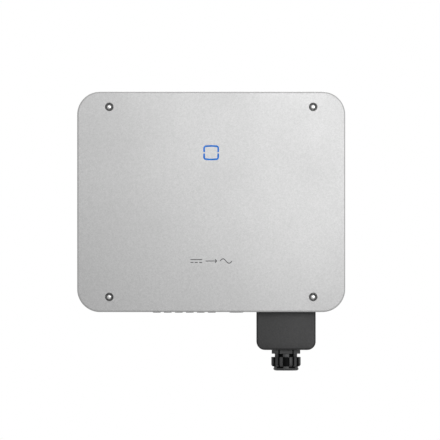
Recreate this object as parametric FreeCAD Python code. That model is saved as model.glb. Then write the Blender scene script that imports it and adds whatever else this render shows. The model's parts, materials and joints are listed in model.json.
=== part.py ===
"""Wall-hung string inverter for a solar array, as an assembly of separate pieces.

Millimetres. +Z is up, the wall is the plane Y = 0 and the inverter stands out of it towards -Y,
so a person facing the inverter looks along +Y with +X on the right. The origin is the centre of the
wall bracket's four bolt holes, on the wall.

From the wall outwards: two bracket rails with crossbars, the hanging ears, an air duct with a finned
heat sink and three fans on a pull-out tray, the sealed enclosure with the electronics, its bolted lid,
and a thin formed front cover on four standoffs. Below the enclosure hang the plug connectors, the
isolator knob, the communication gland and the junction box with the mains cable gland.
"""

import FreeCAD
import Part

import math
import os

Vec = FreeCAD.Vector
DOWN = Vec(0, 0, -1)

# ---- driving dimensions -------------------------------------------------------------------------

DEPTH = 310.0            # wall to the front cover's face
SHEET = 1.5              # duct sheet metal
WALL = 3.0               # enclosure and junction box walls
SLACK = 0.1              # clearance round a piece that sits in a hole

# front cover
COVER_HALF_W = 351.0
COVER_HALF_H = 288.5
COVER_CORNER = 60.0
COVER_SHEET = 2.0
COVER_EDGE = 4.5         # rounding of the folded edge
COVER_RETURN = 26.0      # depth of the folded edge
COVER_FACE = -DEPTH
SCREW_X = 267.0          # corner screws, left and right of the middle
SCREW_Z = 249.0
CUP_RADIUS = 11.0
CUP_FLOOR = COVER_FACE + 8.0

# status light, a ring in two halves
LIGHT_Z = 129.0
LIGHT_W = 42.0
LIGHT_H = 38.6
LIGHT_BOW = 1.0          # how far its top and bottom are arched
LIGHT_LINE = 4.6
LIGHT_CORNER = 7.0
LIGHT_GAP = 3.0

# enclosure
BOX_HALF_W = 310.0
BOX_TOP = 262.0
BOX_BOTTOM = -258.0
BOX_CORNER = 24.0
BOX_FRONT = -262.0
BOX_BACK = -137.0
BOX_LIP = 22.0           # flange that carries the lid's gasket
GASKET = 2.0
LID_FRONT = BOX_FRONT - GASKET - WALL
LID_EMBOSS = 3.0
LID_SCREW_INSET = 8.5
LID_SCREWS_ACROSS = 5

# heat sink and duct
SINK_HALF_W = 270.0
SINK_BOTTOM = -200.0
SINK_TOP = 225.0
SINK_BASE = 8.5
SINK_GASKET = 1.5
FIN_COUNT = 41
FIN_THICK = 2.2
FIN_BACK = -33.0
WINDOW_HALF_W = 235.0    # opening in the enclosure's back wall, behind the power modules
WINDOW_BOTTOM = -150.0
WINDOW_TOP = 190.0
DUCT_HALF_W = 276.0
DUCT_BACK = -30.0
DUCT_BOTTOM = -250.0
DUCT_TOP = 255.0
DUCT_FLANGE = 14.0
GRILLE_SLOTS = 50
GRILLE_SLOT = (4.5, 38.0)

# fans
FAN_X = (-170.0, 0.0, 170.0)
FAN_Y = -84.0
FAN_SIZE = 92.0
FAN_DEPTH = 38.0
FAN_BORE = 44.0
FAN_HUB = 18.0
FAN_BLADES = 7
TRAY_THICK = 2.0

# wall bracket
RAIL_X = 225.0
RAIL_HALF_H = 200.0
RAIL_HALF_W = 22.0
RAIL_DEPTH = 24.0
STEEL = 2.5
RAIL_FLANGE = 22.0
WALL_BOLT_X = 192.0
WALL_BOLT_Z = 150.0
WALL_BOLT_R = 5.5
CROSSBAR_Z = 180.0
CROSSBAR_HALF_H = 15.0
CROSSBAR_DEPTH = 18.0
EAR_Z = (112.0, -128.0)  # the ledge that each hanging ear rests on
LOCK_Y = -15.0
LOCK_Z = -178.0

# plug connectors for the solar strings
PLUG_COLUMNS = 6
PLUG_PITCH = 28.9
PLUG_FIRST_X = -143.0
SOCKET_Y = -232.0
NOSE_Y = -186.0
PLUG_END = -290.5
PLUG_FLANGE = 12.0
PLUG_THREAD = 7.9
SOCKET_RADIUS = 10.2
SOCKET_BORE = 6.7
SOCKET_DEPTH = 20.0
LATCH_X = SOCKET_RADIUS - 0.7  # middle of each latch recess, off the socket's axis
NOSE_RADIUS = 6.0
CONTACT = 2.2
INPUT_BOARD_Z = -238.0

# junction box and its gland
HOOD_X = 196.5
HOOD_HALF_W = 77.6
HOOD_BOTTOM = -388.4
HOOD_FRONT = -272.0
HOOD_BACK = -165.0
HOOD_CORNER = 22.0
HOOD_EDGE = 5.0
HOOD_FLANGE = 12.0
HOOD_GASKET = 3.0
HOOD_TOP = BOX_BOTTOM - HOOD_GASKET
GLAND_Y = (HOOD_FRONT + HOOD_BACK) / 2
POLES = 5
POLE_PITCH = 27.0
STUD_Z = -298.0
STUD_RADIUS = 4.0
BLOCK_FACE = -205.0
STUD_END = -234.0

# isolator
KNOB_X = -232.0
KNOB_Y = -210.0
KNOB_RADIUS = 24.0
KNOB_END = -284.0
SHAFT = 5.0

# earth terminal and handles
EARTH_Y = -165.0
EARTH_Z = -225.0
HANDLE_Y = -200.0
HANDLE_Z = 150.0
HANDLE_REACH = 33.0
HANDLE_HALF = 55.0
HANDLE_BEND = 14.0
HANDLE_BAR = 5.0
PAD_THICK = 3.0

# boards inside the enclosure
POWER_BOARD_Y = -168.0
CONTROL_BOARD_Y = -238.0
BOARD = 2.0
BOARD_BOTTOM = -150.0     # lower edge of the power board


# ---- shape helpers ------------------------------------------------------------------------------

def block(x0, x1, y0, y1, z0, z1):
    """Box between two opposite corners."""
    return Part.makeBox(x1 - x0, y1 - y0, z1 - z0, Vec(x0, y0, z0))


def rod_x(y, z, radius, x0, x1):
    """Cylinder along X from x0 to x1."""
    return Part.makeCylinder(radius, x1 - x0, Vec(x0, y, z), Vec(1, 0, 0))


def rod_y(x, z, radius, y0, y1):
    """Cylinder along Y from y0 to y1."""
    return Part.makeCylinder(radius, y1 - y0, Vec(x, y0, z), Vec(0, 1, 0))


def rod_z(x, y, radius, z0, z1):
    """Cylinder along Z from z0 to z1."""
    return Part.makeCylinder(radius, z1 - z0, Vec(x, y, z0), Vec(0, 0, 1))


def union(*shapes):
    """One solid from touching or crossing ones, with the seams between coplanar faces removed."""
    return shapes[0].fuse(list(shapes[1:])).removeSplitter()


def group(shapes):
    """Several separate solids as one node."""
    return Part.makeCompound(list(shapes))


def polygon(points):
    """Flat face from its corner points."""
    return Part.Face(Part.makePolygon([*points, points[0]]))


def hexagon_z(x, y, across_flats, z0, z1):
    """Hexagonal prism along Z with one flat towards the front."""
    corner = across_flats / math.sqrt(3)
    angles = [math.radians(60 * k) for k in range(6)]
    ring = [Vec(x + corner * math.cos(a), y + corner * math.sin(a), z0) for a in angles]
    return polygon(ring).extrude(Vec(0, 0, z1 - z0))


def hexagon_y(x, z, across_flats, y0, y1):
    """Hexagonal prism along Y."""
    corner = across_flats / math.sqrt(3)
    angles = [math.radians(60 * k) for k in range(6)]
    ring = [Vec(x + corner * math.cos(a), y0, z + corner * math.sin(a)) for a in angles]
    return polygon(ring).extrude(Vec(0, y1 - y0, 0))


def turned(x, y, profile):
    """Solid of revolution about the vertical through (x, y), from (radius, z) corner points."""
    points = [Vec(x + r, y, z) for r, z in profile]
    return polygon(points).revolve(Vec(x, y, 0), Vec(0, 0, 1), 360)


def corner_arc(cx, cz, radius, start_deg, y):
    """Quarter circle in a plane of constant Y, anticlockwise from start_deg."""
    def at(deg):
        a = math.radians(deg)
        return Vec(cx + radius * math.cos(a), y, cz + radius * math.sin(a))
    return Part.Arc(at(start_deg), at(start_deg + 45), at(start_deg + 90)).toShape()


def rounded_slab(x0, x1, z0, z1, radius, y0, y1):
    """Plate in the XZ plane with rounded corners, from y0 to y1."""
    r = radius
    corners = [
        (x1 - r, z1 - r, 0), (x0 + r, z1 - r, 90), (x0 + r, z0 + r, 180), (x1 - r, z0 + r, 270)]
    arcs = [corner_arc(cx, cz, r, start, y0) for cx, cz, start in corners]
    edges = []
    for arc, following in zip(arcs, arcs[1:] + arcs[:1]):
        edges.append(arc)
        edges.append(Part.makeLine(arc.valueAt(arc.LastParameter),
                                   following.valueAt(following.FirstParameter)))
    return Part.Face(Part.Wire(edges)).extrude(Vec(0, y1 - y0, 0))


def edges_at_y(shape, y):
    """The edges that lie wholly in the plane of that Y."""
    return [e for e in shape.Edges
            if abs(e.BoundBox.YMin - y) < 1e-4 and abs(e.BoundBox.YMax - y) < 1e-4]


def mirrored_x(shape):
    """The shape's mirror image on the other side of X = 0."""
    return shape.mirror(Vec(0, 0, 0), Vec(1, 0, 0))


def corners(half_x, half_z):
    """The four (x, z) places of a rectangle about the middle."""
    return [(sx * half_x, sz * half_z) for sx in (-1, 1) for sz in (-1, 1)]


# ---- front cover --------------------------------------------------------------------------------

def light_ring(grow, y0, y1):
    """The status light's ring, cut in two at mid height; grow widens every line of it."""
    def outline(half_w, half_h, radius):
        top, bottom = LIGHT_Z + half_h, LIGHT_Z - half_h
        tl, tr = Vec(-half_w, y0, top), Vec(half_w, y0, top)
        br, bl = Vec(half_w, y0, bottom), Vec(-half_w, y0, bottom)
        wire = Part.Wire([
            Part.Arc(tl, Vec(0, y0, top + LIGHT_BOW), tr).toShape(),
            Part.makeLine(tr, br),
            Part.Arc(br, Vec(0, y0, bottom - LIGHT_BOW), bl).toShape(),
            Part.makeLine(bl, tl)])
        solid = Part.Face(wire).extrude(Vec(0, y1 - y0, 0))
        upright = [e for e in solid.Edges if e.BoundBox.YLength > abs(y1 - y0) - 1e-6]
        return solid.makeFillet(radius, upright)

    outer = outline(LIGHT_W / 2 + grow, LIGHT_H / 2 + grow, LIGHT_CORNER + grow)
    inset = LIGHT_LINE + grow
    inner = outline(LIGHT_W / 2 - inset, LIGHT_H / 2 - inset, LIGHT_CORNER - inset)
    gap = LIGHT_GAP / 2 - grow
    bridge = block(-LIGHT_W, LIGHT_W, y0, y1, LIGHT_Z - gap, LIGHT_Z + gap)
    return outer.cut(inner).cut(bridge)


def front_cover():
    """Formed sheet with folded, rounded edges, four holes for the screw cups and two light slots."""
    w, h, t = COVER_HALF_W, COVER_HALF_H, COVER_SHEET
    back = COVER_FACE + COVER_RETURN
    shell = rounded_slab(-w, w, -h, h, COVER_CORNER, COVER_FACE, back)
    shell = shell.makeFillet(COVER_EDGE, edges_at_y(shell, COVER_FACE))
    hollow = rounded_slab(-w + t, w - t, -h + t, h - t, COVER_CORNER - t, COVER_FACE + t, back + 1)
    hollow = hollow.makeFillet(COVER_EDGE - t, edges_at_y(hollow, COVER_FACE + t))
    holes = [rod_y(x, z, CUP_RADIUS + SLACK, COVER_FACE - 1, COVER_FACE + t + 1)
             for x, z in corners(SCREW_X, SCREW_Z)]
    slots = light_ring(SLACK, COVER_FACE - 1, COVER_FACE + t + 1)
    return shell.cut([hollow, *holes, slots])


def cover_screw_cups():
    """Dark cups that line the cover's corner holes, each with a flange behind the sheet."""
    def cup(x, z):
        wall, floor, flange = 2.2, 2.0, 3.0
        body = rod_y(x, z, CUP_RADIUS, COVER_FACE + 0.4, CUP_FLOOR + floor)
        rim = rod_y(x, z, CUP_RADIUS + flange, COVER_FACE + COVER_SHEET, COVER_FACE + COVER_SHEET + 2)
        hollow = rod_y(x, z, CUP_RADIUS - wall, COVER_FACE, CUP_FLOOR)
        hole = rod_y(x, z, 3.25, CUP_FLOOR - 1, CUP_FLOOR + floor + 1)
        return union(body, rim).cut([hollow, hole])
    return group(cup(x, z) for x, z in corners(SCREW_X, SCREW_Z))


def cover_screws():
    """Domed hexagon-flange screws that stay in the cover."""
    def screw(x, z):
        flange = rod_y(x, z, 6.6, CUP_FLOOR - 1.5, CUP_FLOOR)
        hexagon = hexagon_y(x, z, 10.0, CUP_FLOOR - 4.0, CUP_FLOOR - 1.5)
        dome_radius = 6.2
        dome = Part.makeSphere(dome_radius, Vec(x, CUP_FLOOR - 4.0 + 3.2, z))
        dome = dome.common(rod_y(x, z, 5.0, CUP_FLOOR - 9.0, CUP_FLOOR - 4.0))
        shank = rod_y(x, z, 3.0, CUP_FLOOR, CUP_FLOOR + 14.0)
        return union(flange, hexagon, dome, shank)
    return group(screw(x, z) for x, z in corners(SCREW_X, SCREW_Z))


def cover_standoffs():
    """Hexagonal standoffs, screwed through the lid into the enclosure's flange."""
    def standoff(x, z):
        tip = CUP_FLOOR + 2.0
        body = hexagon_y(x, z, 10.0, tip, LID_FRONT)
        thread = rod_y(x, z, 3.0, LID_FRONT, BOX_FRONT + 6.0)
        tapped = rod_y(x, z, 3.0 + SLACK, tip, tip + 16.0)
        return union(body, thread).cut(tapped)
    return group(standoff(x, z) for x, z in corners(SCREW_X, SCREW_Z))


def status_light_lens():
    """Light guide: a plate behind the cover with the ring standing through its slots."""
    back = COVER_FACE + COVER_SHEET
    plate = block(-27, 27, back, back + 2, LIGHT_Z - 25, LIGHT_Z + 25)
    return union(plate, light_ring(0, COVER_FACE - 0.2, back))


def indicator_board():
    """Small board with eight light sources behind the light guide, on four spacers."""
    back = LID_FRONT - LID_EMBOSS
    face = back - 28.0
    spacers = [rod_y(x, LIGHT_Z + z, 3.0, face, back) for x, z in corners(22, 20)]
    board = block(-26, 26, face - 1.6, face, LIGHT_Z - 24, LIGHT_Z + 24)
    lamps = []
    for k in range(8):
        a = math.radians(22.5 + 45 * k)
        x, z = 16.5 * math.cos(a), LIGHT_Z + 15.5 * math.sin(a)
        lamps.append(block(x - 1.5, x + 1.5, face - 2.6, face - 1.6, z - 1.5, z + 1.5))
    return union(board, *spacers, *lamps)


# ---- enclosure ----------------------------------------------------------------------------------

def plug_columns():
    """The X of each column of plug connectors."""
    return [PLUG_FIRST_X + PLUG_PITCH * k for k in range(PLUG_COLUMNS)]


def box_slab(inset, y0, y1):
    """Slab with the enclosure's outline, inset all round."""
    return rounded_slab(-BOX_HALF_W + inset, BOX_HALF_W - inset, BOX_BOTTOM + inset,
                        BOX_TOP - inset, BOX_CORNER - inset, y0, y1)


def hood_screw_places():
    """(x, y) of the screws in the junction box's flange."""
    left, right = HOOD_X - HOOD_HALF_W - 6, HOOD_X + HOOD_HALF_W + 6
    rows = (HOOD_FRONT + 20, GLAND_Y, HOOD_BACK - 10)
    return [(x, y) for x in (left, right) for y in rows]


def enclosure_tub():
    """Cast tub: open front with a flange, a window at the back and holes in the floor."""
    tub = box_slab(0, BOX_FRONT, BOX_BACK)
    tub = tub.cut(box_slab(WALL, BOX_FRONT + WALL, BOX_BACK - WALL))
    tub = tub.cut(box_slab(BOX_LIP, BOX_FRONT - 1, BOX_FRONT + WALL + 1))
    floor = (BOX_BOTTOM - 1, BOX_BOTTOM + WALL + 1)
    cuts = [block(-WINDOW_HALF_W, WINDOW_HALF_W, BOX_BACK - WALL - 1, BOX_BACK + 1,
                  WINDOW_BOTTOM, WINDOW_TOP)]
    for x in plug_columns():
        cuts += [rod_z(x, y, PLUG_THREAD + SLACK, *floor) for y in (SOCKET_Y, NOSE_Y)]
    cuts.append(rod_z(*COM_GLAND["at"], COM_GLAND["thread"] + SLACK, *floor))
    cuts.append(rod_z(*DONGLE_AT, 8.0 + SLACK, *floor))
    cuts.append(rod_z(*VENT_AT, 6.0 + SLACK, *floor))
    cuts.append(rod_z(KNOB_X, KNOB_Y, SHAFT + 1.0, *floor))
    cuts.append(block(HOOD_X - 62, HOOD_X + 62, GLAND_Y - 26, GLAND_Y + 26, *floor))
    cuts += [rod_z(x, y, 2.5 + SLACK, *floor) for x, y in hood_screw_places()]
    cuts += [rod_y(x, z, 3.0 + SLACK, BOX_FRONT - 1, BOX_FRONT + WALL + 1)
             for x, z in corners(SCREW_X, SCREW_Z)]
    cuts += [rod_y(x, z, 2.5 + SLACK, BOX_FRONT - 1, BOX_FRONT + WALL + 1)
             for x, z in lid_screw_places()]
    cuts += [rod_y(x, z, 2.5 + SLACK, BOX_BACK - WALL - 1, BOX_BACK + 1)
             for x, z in sink_screw_places()]
    cuts.append(rod_x(EARTH_Y, EARTH_Z, 3.0 + SLACK, BOX_HALF_W - WALL - 1, BOX_HALF_W + 1))
    return tub.cut(cuts)


def lid_screw_places():
    """(x, z) of the lid's screws, evenly spaced along each side."""
    x = BOX_HALF_W - LID_SCREW_INSET
    top, bottom = BOX_TOP - LID_SCREW_INSET, BOX_BOTTOM + LID_SCREW_INSET
    middle, last = (top + bottom) / 2, (LID_SCREWS_ACROSS - 1) / 2
    steps = [k - last for k in range(LID_SCREWS_ACROSS)]
    across = [(110 * k, z) for k in steps for z in (top, bottom)]
    upright = [(side * x, middle + 96 * k) for k in steps for side in (-1, 1)]
    return across + upright


def enclosure_lid():
    """Lid plate with a pressed-out middle."""
    plate = box_slab(3, LID_FRONT, LID_FRONT + WALL)
    raised = rounded_slab(-250, 250, -195, 200, 30, LID_FRONT - LID_EMBOSS, LID_FRONT)
    pocket = rounded_slab(-247, 247, -192, 197, 27, LID_FRONT, LID_FRONT + WALL + 1)
    holes = [rod_y(x, z, 2.5 + SLACK, LID_FRONT - 1, LID_FRONT + WALL + 1)
             for x, z in lid_screw_places()]
    holes += [rod_y(x, z, 3.0 + SLACK, LID_FRONT - 1, LID_FRONT + WALL + 1)
              for x, z in corners(SCREW_X, SCREW_Z)]
    return union(plate, raised).cut([pocket, *holes])


def enclosure_lid_gasket():
    """Rubber ring between the flange and the lid, inside the line of screws."""
    outer = box_slab(17, BOX_FRONT - GASKET, BOX_FRONT)
    return outer.cut(box_slab(BOX_LIP - 0.5, BOX_FRONT - GASKET - 1, BOX_FRONT + 1))


def enclosure_lid_screws():
    """Round-headed lid screws with a hexagon socket."""
    def screw(x, z):
        head = rod_y(x, z, 4.2, LID_FRONT - 3.4, LID_FRONT)
        shank = rod_y(x, z, 2.5, LID_FRONT, BOX_FRONT + WALL + 4)
        socket = hexagon_y(x, z, 3.0, LID_FRONT - 4, LID_FRONT - 1.6)
        return union(head, shank).cut(socket)
    return group(screw(x, z) for x, z in lid_screw_places())


def handle(side, z):
    """Bent round bar on two pads."""
    face = BOX_HALF_W + PAD_THICK
    reach = BOX_HALF_W + HANDLE_REACH
    low, high, bend = z - HANDLE_HALF, z + HANDLE_HALF, HANDLE_BEND
    cut = bend * (1 - math.sqrt(0.5))

    def at(x, zz):
        return Vec(x, HANDLE_Y, zz)

    path = Part.Wire([
        Part.makeLine(at(face, low), at(reach - bend, low)),
        Part.Arc(at(reach - bend, low), at(reach - cut, low + cut), at(reach, low + bend)).toShape(),
        Part.makeLine(at(reach, low + bend), at(reach, high - bend)),
        Part.Arc(at(reach, high - bend), at(reach - cut, high - cut),
                 at(reach - bend, high)).toShape(),
        Part.makeLine(at(reach - bend, high), at(face, high))])
    ring = Part.Wire(Part.makeCircle(HANDLE_BAR, at(face, low), Vec(1, 0, 0)))
    bar = path.makePipeShell([ring], True, False)
    pads = [block(BOX_HALF_W, face, HANDLE_Y - 18, HANDLE_Y + 18, end - 9, end + 9)
            for end in (low, high)]
    heads = [rod_x(HANDLE_Y + dy, end, 3.5, face, face + 2.4)
             for end in (low, high) for dy in (-12, 12)]
    solid = union(bar, *pads, *heads)
    return solid if side > 0 else mirrored_x(solid)


def side_handles():
    """Four lifting handles, two on each side."""
    return group(handle(side, z) for side in (-1, 1) for z in (-HANDLE_Z, HANDLE_Z))


def earth_terminal():
    """Stud with a boss, washer and nut for the protective earth, on the right side."""
    wall = BOX_HALF_W
    stud = rod_x(EARTH_Y, EARTH_Z, 3.0, wall - 8, wall + 22)
    boss = rod_x(EARTH_Y, EARTH_Z, 9.0, wall, wall + 2)
    washer = rod_x(EARTH_Y, EARTH_Z, 6.5, wall + 2, wall + 3.4)
    nut = hexagon_y(0, 0, 10.0, 0, 5)
    nut.rotate(Vec(0, 0, 0), Vec(0, 0, 1), -90)
    nut.translate(Vec(wall + 3.4, EARTH_Y, EARTH_Z))
    return union(stud, boss, washer, nut)


# ---- heat sink, duct and fans -------------------------------------------------------------------

def sink_screw_places():
    """(x, z) of the screws that pull the heat sink against the enclosure's back wall."""
    sides = [(s * 261, -185 + 90 * k) for s in (-1, 1) for k in range(5)]
    bottom = [(x, -184) for x in (-150, 0, 150)]
    top = [(x, 216.5) for x in (-177.5, -88.5, 88.5, 177.5)]
    return sides + bottom + top


def heat_sink():
    """Extruded comb: a base plate with upright fins."""
    root = BOX_BACK + SINK_GASKET + SINK_BASE
    pitch = (2 * SINK_HALF_W - FIN_THICK) / (FIN_COUNT - 1)
    points = [Vec(SINK_HALF_W, root - SINK_BASE, SINK_BOTTOM),
              Vec(-SINK_HALF_W, root - SINK_BASE, SINK_BOTTOM)]
    for k in range(FIN_COUNT):
        left = -SINK_HALF_W + pitch * k
        right = left + FIN_THICK
        points += [Vec(x, y, SINK_BOTTOM) for x, y in
                   ((left, root), (left, FIN_BACK), (right, FIN_BACK), (right, root))]
    outline = points[:2] + points[3:-1]
    comb = polygon(outline).extrude(Vec(0, 0, SINK_TOP - SINK_BOTTOM))
    face = root - SINK_BASE
    return comb.cut([rod_y(x, z, 2.5 + SLACK, face - 1, face + 7) for x, z in sink_screw_places()])


def heat_sink_gasket():
    """Ring between the heat sink's base and the enclosure's back wall."""
    y0, y1 = BOX_BACK, BOX_BACK + SINK_GASKET
    outer = block(-WINDOW_HALF_W - 18, WINDOW_HALF_W + 18, y0, y1, WINDOW_BOTTOM - 18, WINDOW_TOP + 18)
    return outer.cut(block(-WINDOW_HALF_W, WINDOW_HALF_W, y0 - 1, y1 + 1, WINDOW_BOTTOM, WINDOW_TOP))


def duct_screw_heights():
    """The Z of the screws in the duct's flanges."""
    return [-225 + 115 * k for k in range(5)]


def tray_screw_places():
    """(x, y) of the fan tray's screws."""
    return [(x, y) for x in (-262, 262) for y in (-42, -126)]


def duct_shroud():
    """Folded sheet that closes the fins into an air duct, with tabs for the fan tray's screws."""
    w, t = DUCT_HALF_W, SHEET
    back = block(-w, w, DUCT_BACK - t, DUCT_BACK, DUCT_BOTTOM, DUCT_TOP)
    side = block(w - t, w, BOX_BACK, DUCT_BACK, DUCT_BOTTOM, DUCT_TOP)
    flange = block(w, w + DUCT_FLANGE, BOX_BACK, BOX_BACK + t, DUCT_BOTTOM, DUCT_TOP)
    tabs = [block(250, w - t, y - 8, y + 8, DUCT_BOTTOM, DUCT_BOTTOM + t) for y in (-42, -126)]
    right = union(side, flange, *tabs)
    holes = [rod_z(x, y, 2.0 + SLACK, DUCT_BOTTOM - 1, DUCT_BOTTOM + 3) for x, y in tray_screw_places()]
    holes += [rod_y(s * (w + 8), z, 2.0 + SLACK, BOX_BACK - 1, BOX_BACK + t + 1)
              for s in (-1, 1) for z in duct_screw_heights()]
    return union(back, right, mirrored_x(right)).cut(holes)


def back_wall_screws():
    """Screws of the duct's flanges, from outside, and of the heat sink, from inside the enclosure."""
    def duct_screw(x, z):
        head = rod_y(x, z, 3.6, BOX_BACK + SHEET, BOX_BACK + SHEET + 2.6)
        shank = rod_y(x, z, 2.0, BOX_BACK, BOX_BACK + SHEET)
        return union(head, shank)

    def sink_screw(x, z):
        inside = BOX_BACK - WALL
        head = rod_y(x, z, 4.0, inside - 3.2, inside)
        shank = rod_y(x, z, 2.5, inside, BOX_BACK + SINK_GASKET + 6)
        return union(head, shank)

    outer = [duct_screw(s * (DUCT_HALF_W + 8), z) for s in (-1, 1) for z in duct_screw_heights()]
    return group(outer + [sink_screw(x, z) for x, z in sink_screw_places()])


def exhaust_grille():
    """Slotted plate over the top of the duct."""
    t = SHEET
    x1, y0, y1 = DUCT_HALF_W - t - SLACK, BOX_BACK + SLACK, DUCT_BACK - t - SLACK
    plate = block(-x1, x1, y0, y1, DUCT_TOP - t, DUCT_TOP)
    wide, deep = GRILLE_SLOT
    pitch = (2 * x1 - 30) / GRILLE_SLOTS
    middle = (y0 + y1) / 2
    slots = []
    for k in range(GRILLE_SLOTS):
        x = -x1 + 15 + pitch * (k + 0.5)
        for y in (middle - deep / 2 - 5, middle + deep / 2 + 5):
            slots.append(block(x - wide / 2, x + wide / 2, y - deep / 2, y + deep / 2,
                               DUCT_TOP - t - 1, DUCT_TOP + 1))
    return plate.cut(slots)


def fan_tray_plate():
    """Floor of the duct, which draws down with the fans on it."""
    top = DUCT_BOTTOM
    plate = block(-DUCT_HALF_W, DUCT_HALF_W, BOX_BACK + 0.5, DUCT_BACK, top - TRAY_THICK, top)
    front = block(-240, 240, BOX_BACK + 0.5, BOX_BACK + 0.5 + SHEET, top, top + 14)
    holes = [rod_z(x, FAN_Y, FAN_BORE - 0.5, top - TRAY_THICK - 1, top + 1) for x in FAN_X]
    holes += [rod_z(x, y, 2.0 + SLACK, top - TRAY_THICK - 1, top + 1) for x, y in tray_screw_places()]
    return union(plate, front).cut(holes)


def fan_tray_screws():
    """Captive screws under the tray."""
    def screw(x, y):
        head = rod_z(x, y, 4.0, DUCT_BOTTOM - TRAY_THICK - 2.8, DUCT_BOTTOM - TRAY_THICK)
        shank = rod_z(x, y, 2.0, DUCT_BOTTOM - TRAY_THICK, DUCT_BOTTOM + 8)
        return union(head, shank)
    return group(screw(x, y) for x, y in tray_screw_places())


def fan_frames():
    """Square fan frames, each with four struts to the motor seat."""
    def frame(x):
        half, z0, z1 = FAN_SIZE / 2, DUCT_BOTTOM, DUCT_BOTTOM + FAN_DEPTH
        body = block(x - half, x + half, FAN_Y - half, FAN_Y + half, z0, z1)
        cuts = [rod_z(x, FAN_Y, FAN_BORE, z0 - 1, z1 + 1)]
        cuts += [rod_z(x + sx * 41.2, FAN_Y + sy * 41.2, 2.2, z0 - 1, z1 + 1)
                 for sx in (-1, 1) for sy in (-1, 1)]
        seat = rod_z(x, FAN_Y, FAN_HUB, z0, z0 + 4)
        reach = FAN_BORE + 0.7
        bars = [block(x - reach, x + reach, FAN_Y - 2.5, FAN_Y + 2.5, z0, z0 + 4),
                block(x - 2.5, x + 2.5, FAN_Y - reach, FAN_Y + reach, z0, z0 + 4)]
        return union(body.cut(cuts), seat, *bars)
    return group(frame(x) for x in FAN_X)


def fan_rotor(x):
    """Hub with pitched blades, turning about the vertical."""
    z0, z1 = DUCT_BOTTOM + 6, DUCT_BOTTOM + FAN_DEPTH - 3
    tip = FAN_BORE - 1.5
    hub = rod_z(x, FAN_Y, FAN_HUB, z0, z1)
    middle = (z0 + z1) / 2
    blades = []
    for k in range(FAN_BLADES):
        blade = block(FAN_HUB - 2, tip + 4, -0.9, 0.9, -17, 17)
        blade.rotate(Vec(0, 0, 0), Vec(1, 0, 0), 48)
        blade.rotate(Vec(0, 0, 0), Vec(0, 0, 1), 360 / FAN_BLADES * k)
        blade.translate(Vec(x, FAN_Y, middle))
        blades.append(blade)
    sweep = rod_z(x, FAN_Y, tip, z0, z1)
    return union(hub, *[blade.common(sweep) for blade in blades])


def fan_guards():
    """Finger guards under the tray: rings on two crossed bars."""
    wire = 1.0
    z1 = DUCT_BOTTOM - TRAY_THICK
    z0 = z1 - 2 * wire

    def guard(x):
        rings = [rod_z(x, FAN_Y, r + wire, z0, z1).cut(rod_z(x, FAN_Y, r - wire, z0 - 1, z1 + 1))
                 for r in (11, 19, 27, 35, 43)]
        bars = []
        for deg in (45, 135):
            bar = block(-52, 52, -wire, wire, z0, z1)
            bar.rotate(Vec(0, 0, 0), Vec(0, 0, 1), deg)
            bar.translate(Vec(x, FAN_Y, 0))
            bars.append(bar)
        return union(bars[0], bars[1], *rings)
    return group(guard(x) for x in FAN_X)


# ---- wall bracket and hanging ears --------------------------------------------------------------

def bracket_rail(side):
    """Hat-section rail with a slot for each hanging ear, wall bolt holes and a locking screw hole."""
    x0, x1, t, h = RAIL_X - RAIL_HALF_W, RAIL_X + RAIL_HALF_W, STEEL, RAIL_HALF_H
    web = block(x0, x1, -RAIL_DEPTH, -RAIL_DEPTH + t, -h, h)
    walls = [block(x, x + t, -RAIL_DEPTH, 0, -h, h) for x in (x0, x1 - t)]
    flanges = [block(x, x + RAIL_FLANGE, -t, 0, -h, h) for x in (x0 - RAIL_FLANGE, x1)]
    slots = [block(RAIL_X - 17, RAIL_X + 17, -RAIL_DEPTH - 1, -RAIL_DEPTH + t + 1, ledge, ledge + 42)
             for ledge in EAR_Z]
    holes = [rod_y(WALL_BOLT_X, z, WALL_BOLT_R, -t - 1, 1) for z in (-WALL_BOLT_Z, WALL_BOLT_Z)]
    holes += [rod_y(WALL_BOLT_X, z, 4.0 + SLACK, -t - 1, 1) for z in (-CROSSBAR_Z, CROSSBAR_Z)]
    holes.append(rod_x(LOCK_Y, LOCK_Z, 3.0 + SLACK, x1 - t - 1, x1 + 1))
    rail = union(web, *walls, *flanges).cut([*slots, *holes])
    return rail if side > 0 else mirrored_x(rail)


def bracket_crossbars():
    """Two channels that hold the rails at their distance."""
    def bar(z):
        end, t = RAIL_X - RAIL_HALF_W - SLACK, STEEL
        back, front = -t, -CROSSBAR_DEPTH
        web = block(-end, end, back - t, back, z - CROSSBAR_HALF_H, z + CROSSBAR_HALF_H)
        lips = [block(-end, end, front, back - t, low, low + t)
                for low in (z - CROSSBAR_HALF_H, z + CROSSBAR_HALF_H - t)]
        holes = [rod_y(s * WALL_BOLT_X, z, 4.0 + SLACK, back - t - 1, back + 1) for s in (-1, 1)]
        return union(web, *lips).cut(holes)
    return group(bar(z) for z in (-CROSSBAR_Z, CROSSBAR_Z))


def bracket_bolts():
    """Bolts of the crossbars, and the two screws that lock the ears to the rails."""
    solids = []
    for x, z in corners(WALL_BOLT_X, CROSSBAR_Z):
        head = hexagon_y(x, z, 13.0, -2 * STEEL - 5.5, -2 * STEEL)
        solids.append(union(head, rod_y(x, z, 4.0, -2 * STEEL, -0.5)))
    lock = union(rod_x(LOCK_Y, LOCK_Z, 5.5, 253, 257.5), rod_x(LOCK_Y, LOCK_Z, 3.0, 240, 253))
    return group([*solids, lock, mirrored_x(lock)])


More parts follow.
